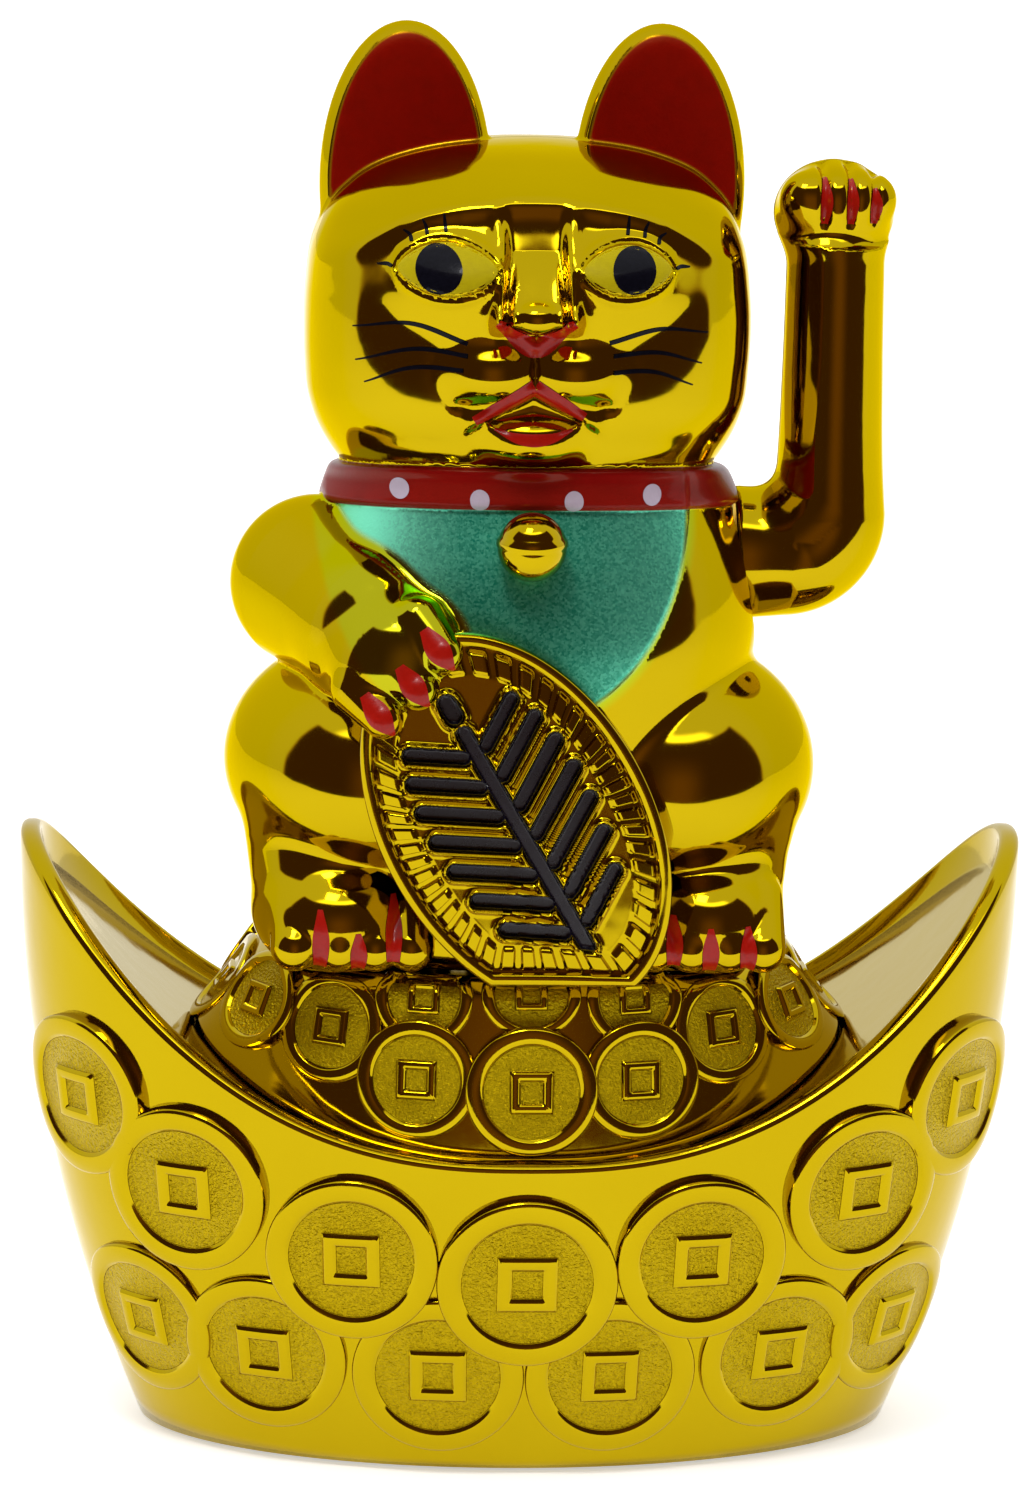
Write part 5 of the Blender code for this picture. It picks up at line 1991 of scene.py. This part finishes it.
@dataclass
class Mound:
    """The mound of overlapping coins that the cat sits on."""

    ingot: Ingot
    foot_half: tuple[float, float] = (46.0, 31.0)
    edge_half: tuple[float, float] = (38.5, 29.0)
    top_half: tuple[float, float] = (36.0, 27.3)
    edge_z: float = 68.5
    top_z: float = 71.0
    foot_gap: float = 1.3
    wire_hole: tuple[float, float] = (5.0, 4.0)
    side_power: float = 1.3
    top_power: float = 1.6
    stations: int = 260

    def half_at(self, x: Array, z: Array) -> tuple[Array, Array]:
        """Half sizes of the plan at a place's height over the trough.

        Args:
            x: Places across, in mm.
            z: Heights, in mm.

        Returns:
            The half sizes along X and Y.
        """
        foot = self.ingot.saddle(x) - self.foot_gap
        share = np.clip((z - foot) / (self.edge_z - foot), 0.0, 1.0) ** self.side_power
        top = np.clip((z - self.edge_z) / (self.top_z - self.edge_z), 0.0, 1.0) ** self.top_power
        sizes = []
        for low, mid, high in zip(self.foot_half, self.edge_half, self.top_half):
            sizes.append(low + (mid - low) * share + (high - mid) * top)
        return sizes[0], sizes[1]

    def field(self, p: Array) -> Array:
        """Signed distance to the mound.

        Args:
            p: Points in mm, one a row.

        Returns:
            Signed distances, negative inside.
        """
        a, b = self.half_at(p[:, 0], p[:, 2])
        side = oval_distance(p, a, b, self.ingot.squareness)
        return smooth_max(side, p[:, 2] - self.top_z, 3.0)

    def rows(self) -> list[Array]:
        """Rows of points: up the side, over the top to the wire hole and back underneath.

        Returns:
            The rows, each closed on itself.
        """
        turn = np.linspace(0, 2 * math.pi, self.stations, endpoint=False)
        square = self.ingot.squareness
        foot = oval_row(*self.foot_half, square, turn)
        foot_z = self.ingot.saddle(foot[:, 0]) - self.foot_gap
        outer, inner = [], []
        for share in np.linspace(0, 1, 16):
            half = [a + (b - a) * share**self.side_power for a, b in zip(self.foot_half, self.edge_half)]
            level = foot_z + (self.edge_z - foot_z) * share
            outer.append(np.column_stack([oval_row(*half, square, turn), level]))
            inside = oval_row(half[0] - WALL, half[1] - WALL, square, turn)
            inner.append(np.column_stack([inside, level - 0.3 * share]))
        for share in np.linspace(0.2, 1, 6):
            half = [a + (b - a) * share**self.top_power for a, b in zip(self.edge_half, self.top_half)]
            level = np.full(self.stations, self.edge_z + (self.top_z - self.edge_z) * share)
            outer.append(np.column_stack([oval_row(*half, square, turn), level]))
        for half in ([size - WALL for size in self.top_half], self.wire_hole):
            row = oval_row(*half, square, turn)
            outer.append(np.column_stack([row, np.full(self.stations, self.top_z)]))
            inner.append(np.column_stack([row, np.full(self.stations, self.top_z - WALL)]))
        return outer + inner[::-1]

    def coins(self) -> list[Coin]:
        """The coins on the front, repeated on the rear.

        Returns:
            The coins.
        """
        places = [(0.3, 56.2, 9.0, 1.5), (15.3, 57.4, 8.3, 0.75), (27.1, 63.4, 7.8, 0.0),
                  (36.6, 64.8, 7.2, 0.75), (14.5, 68.6, 6.9, 0.0), (0.2, 69.2, 6.9, 0.0)]
        ends = [Coin(side * 41.0, 64.0, 7.2, 0.0, end=True) for side in (-1.0, 1.0)]
        return ends + all_round(places)

    def build(self) -> list[bpy.types.Object]:
        """Makes the mound and its coins.

        Returns:
            The pieces.
        """
        body = plated(ring_piece("mound_body", self.rows()), GoldPlate("mound_gold", 0.07).build(),
                      node="coin_mound")
        coins = CoinField(self.field, self.coins(), 60).build(
            "mound_coins", GoldPlate("mound_coin_gold", 0.07, grain_mask="grain", grain_haze=0.36).build())
        return [body, coins]


# ------------------------------------------------------- carried-over parts


@dataclass
class InnerWorks:
    """Finishes for the plate, the movement, the battery and the other parts carried over as they are."""

    nodes: dict[str, bpy.types.Object]
    record: dict[str, Any]

    def finishes(self) -> dict[str, bpy.types.Material]:
        """One material for each slot of the record.

        Returns:
            The materials, by slot.
        """
        made = {
            "black_plastic": Moulded("black_moulding", (0.035, 0.035, 0.037), 0.5),
            "white_nylon": Moulded("nylon_moulding", (0.80, 0.79, 0.74), 0.5, 1.2, 0.03),
            "steel": Metal("plated_steel", (0.60, 0.60, 0.62), 0.3, Lay.TURNED),
            "zinc": Metal("cast_zinc", (0.42, 0.42, 0.44), 0.5, Lay.CAST, 0.08),
            "nickel": Metal("nickel_plate", (0.70, 0.67, 0.62), 0.2, Lay.DRAWN),
            "copper": Metal("enamelled_wire", (0.68, 0.26, 0.09), 0.3, Lay.WOUND, 0.1),
            "board": Moulded("solder_mask", (0.02, 0.20, 0.07), 0.4, 0.8, 0.02),
            "foot_rubber": Moulded("pale_rubber", (0.72, 0.71, 0.67), 0.75, 1.6, 0.06, 0.2),
            "cell_wrap": Moulded("shrink_wrap", (0.10, 0.12, 0.28), 0.3, 0.5, 0.02),
            "red_insulation": Moulded("red_insulation", (0.52, 0.015, 0.015), 0.4, 1.5, 0.02),
            "black_insulation": Moulded("black_insulation", (0.02, 0.02, 0.02), 0.4, 1.5, 0.02),
        }
        return {slot: finish.build() for slot, finish in made.items()}

    def build(self) -> list[bpy.types.Object]:
        """Gives each shown part its finish.

        Returns:
            The dressed parts.
        """
        finishes = self.finishes()
        dressed = []
        for part in self.record["subparts"]:
            obj, slot = self.nodes[part["node"]], part["material_slot"]
            if obj.hide_render or slot not in finishes:
                continue
            obj.data.materials.clear()
            obj.data.materials.append(finishes[slot])
            dressed.append(obj)
        return dressed


# -------------------------------------------------------------------- studio


@dataclass(frozen=True)
class Studio:
    """Camera, tent, lamps and floor."""

    target: tuple[float, float, float] = (0.0, 0.0, 0.100)
    distance: float = 0.77987
    elevation: float = 11.69
    azimuth: float = -3.23
    roll: float = 1.0
    lens: float = 132.37
    shift: tuple[float, float] = (-0.00348, -0.0106)
    floor_half: float = 6.0
    floor_front: float = -0.3
    room_tint: Colour = (1.0, 0.42, 0.25)
    lamp_place: tuple[float, float, float] = (-0.15, -0.35, 0.9)

    def camera(self) -> None:
        """Places the camera."""
        up, round_ = math.radians(self.elevation), math.radians(self.azimuth)
        back = Vector((math.sin(round_) * math.cos(up), -math.cos(round_) * math.cos(up), math.sin(up)))
        side = Vector((0, 0, 1)).cross(back).normalized()
        top = back.cross(side)
        turn = math.radians(self.roll)
        right = side * math.cos(turn) + top * math.sin(turn)
        rise = top * math.cos(turn) - side * math.sin(turn)
        frame = Matrix((right, rise, back)).transposed().to_4x4()
        frame.translation = Vector(self.target) + back * self.distance
        data = bpy.data.cameras.new("view")
        data.lens, data.sensor_width = self.lens, 36.0
        data.shift_x, data.shift_y = self.shift
        data.clip_start, data.clip_end = 0.02, 50.0
        view = bpy.data.objects.new("view", data)
        view.matrix_world = frame
        bpy.context.scene.collection.objects.link(view)
        bpy.context.scene.camera = view

    def tent(self) -> None:
        """A white tent with a dark opening in front, where the camera looks in."""
        world = bpy.data.worlds.new("tent")
        world.use_nodes = True
        bpy.context.scene.world = world
        shop = Shader("", world.node_tree)
        direction = shop.node("ShaderNodeTexCoord", output="Generated")
        parts = shop.node("ShaderNodeSeparateXYZ", None, {0: direction}).socket.node.outputs
        x, y, z = (Signal(shop, parts[k]) for k in range(3))
        ahead = y * -1.0
        wide = abs(x)
        opening = ahead.step(0.10, 0.16) * (1.0 - z.step(0.76, 0.79))
        room = (1.0 - wide.step(0.02, 0.5)) * (1.0 - z.step(0.05, 0.7)) * 0.14 + 0.07
        glow = ahead.step(0.34, 0.46) * z.step(0.78, 0.80) * (1.0 - z.step(0.84, 0.88))
        radiance = (1.0 - opening) * z.step(-0.4, 0.9).spread(0.92, 1.04) + opening * room + glow * 2.2
        seen = shop.node("ShaderNodeLightPath", output="Is Camera Ray")
        tint = shop.mix(opening, WHITE, self.room_tint)
        plain = shop.mix(seen, tint, WHITE)
        strength = seen + (1.0 - seen) * radiance
        surface = shop.node("ShaderNodeBackground", None, {"Color": plain, "Strength": strength})
        shop.node("ShaderNodeOutputWorld", None, {"Surface": surface})

    def lamps(self) -> None:
        """One soft lamp overhead; the tent gives the rest of the light."""
        data = bpy.data.lights.new("overhead", "AREA")
        data.size, data.energy = 0.22, 3.0
        lamp = bpy.data.objects.new("overhead", data)
        lamp.location = self.lamp_place
        aim = Vector(self.target) - Vector(self.lamp_place)
        lamp.rotation_euler = aim.to_track_quat("-Z", "Y").to_euler()
        bpy.context.scene.collection.objects.link(lamp)

    def floor(self) -> None:
        """A plain pale floor."""
        half, near = self.floor_half / MM, self.floor_front / MM
        points = np.array([(-half, near, 0), (half, near, 0), (half, half, 0), (-half, half, 0)])
        ground = make_object("floor", points, [(0, 1, 2, 3)])
        shop = Shader("floor_paper")
        paper = shop.finish(Base_Color=(0.93, 0.93, 0.93), Roughness=0.7, Emission_Color=WHITE,
                            Emission_Strength=0.5)
        ground.data.materials.append(paper)

    def build(self) -> None:
        """Sets up the whole studio."""
        self.camera()
        self.tent()
        self.lamps()
        self.floor()
        bpy.context.scene.view_settings.view_transform = "Standard"


def main() -> None:
    """Builds every piece in order and reports it."""
    logging.basicConfig(level=logging.INFO, format="%(message)s")
    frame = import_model()
    Studio().build()
    cat, ingot = Cat(), Ingot()
    makers: list[Any] = [cat, FacePaint(cat), Plaque(), Bell(), WavingArm(), ingot, Mound(ingot)]
    makers.append(InnerWorks(frame["nodes"], frame["record"]))
    for maker in makers:
        for piece in maker.build():
            log.info("%s: %s, %d faces", type(maker).__name__, piece.name, len(piece.data.polygons))


if __name__ == "__main__":
    main()
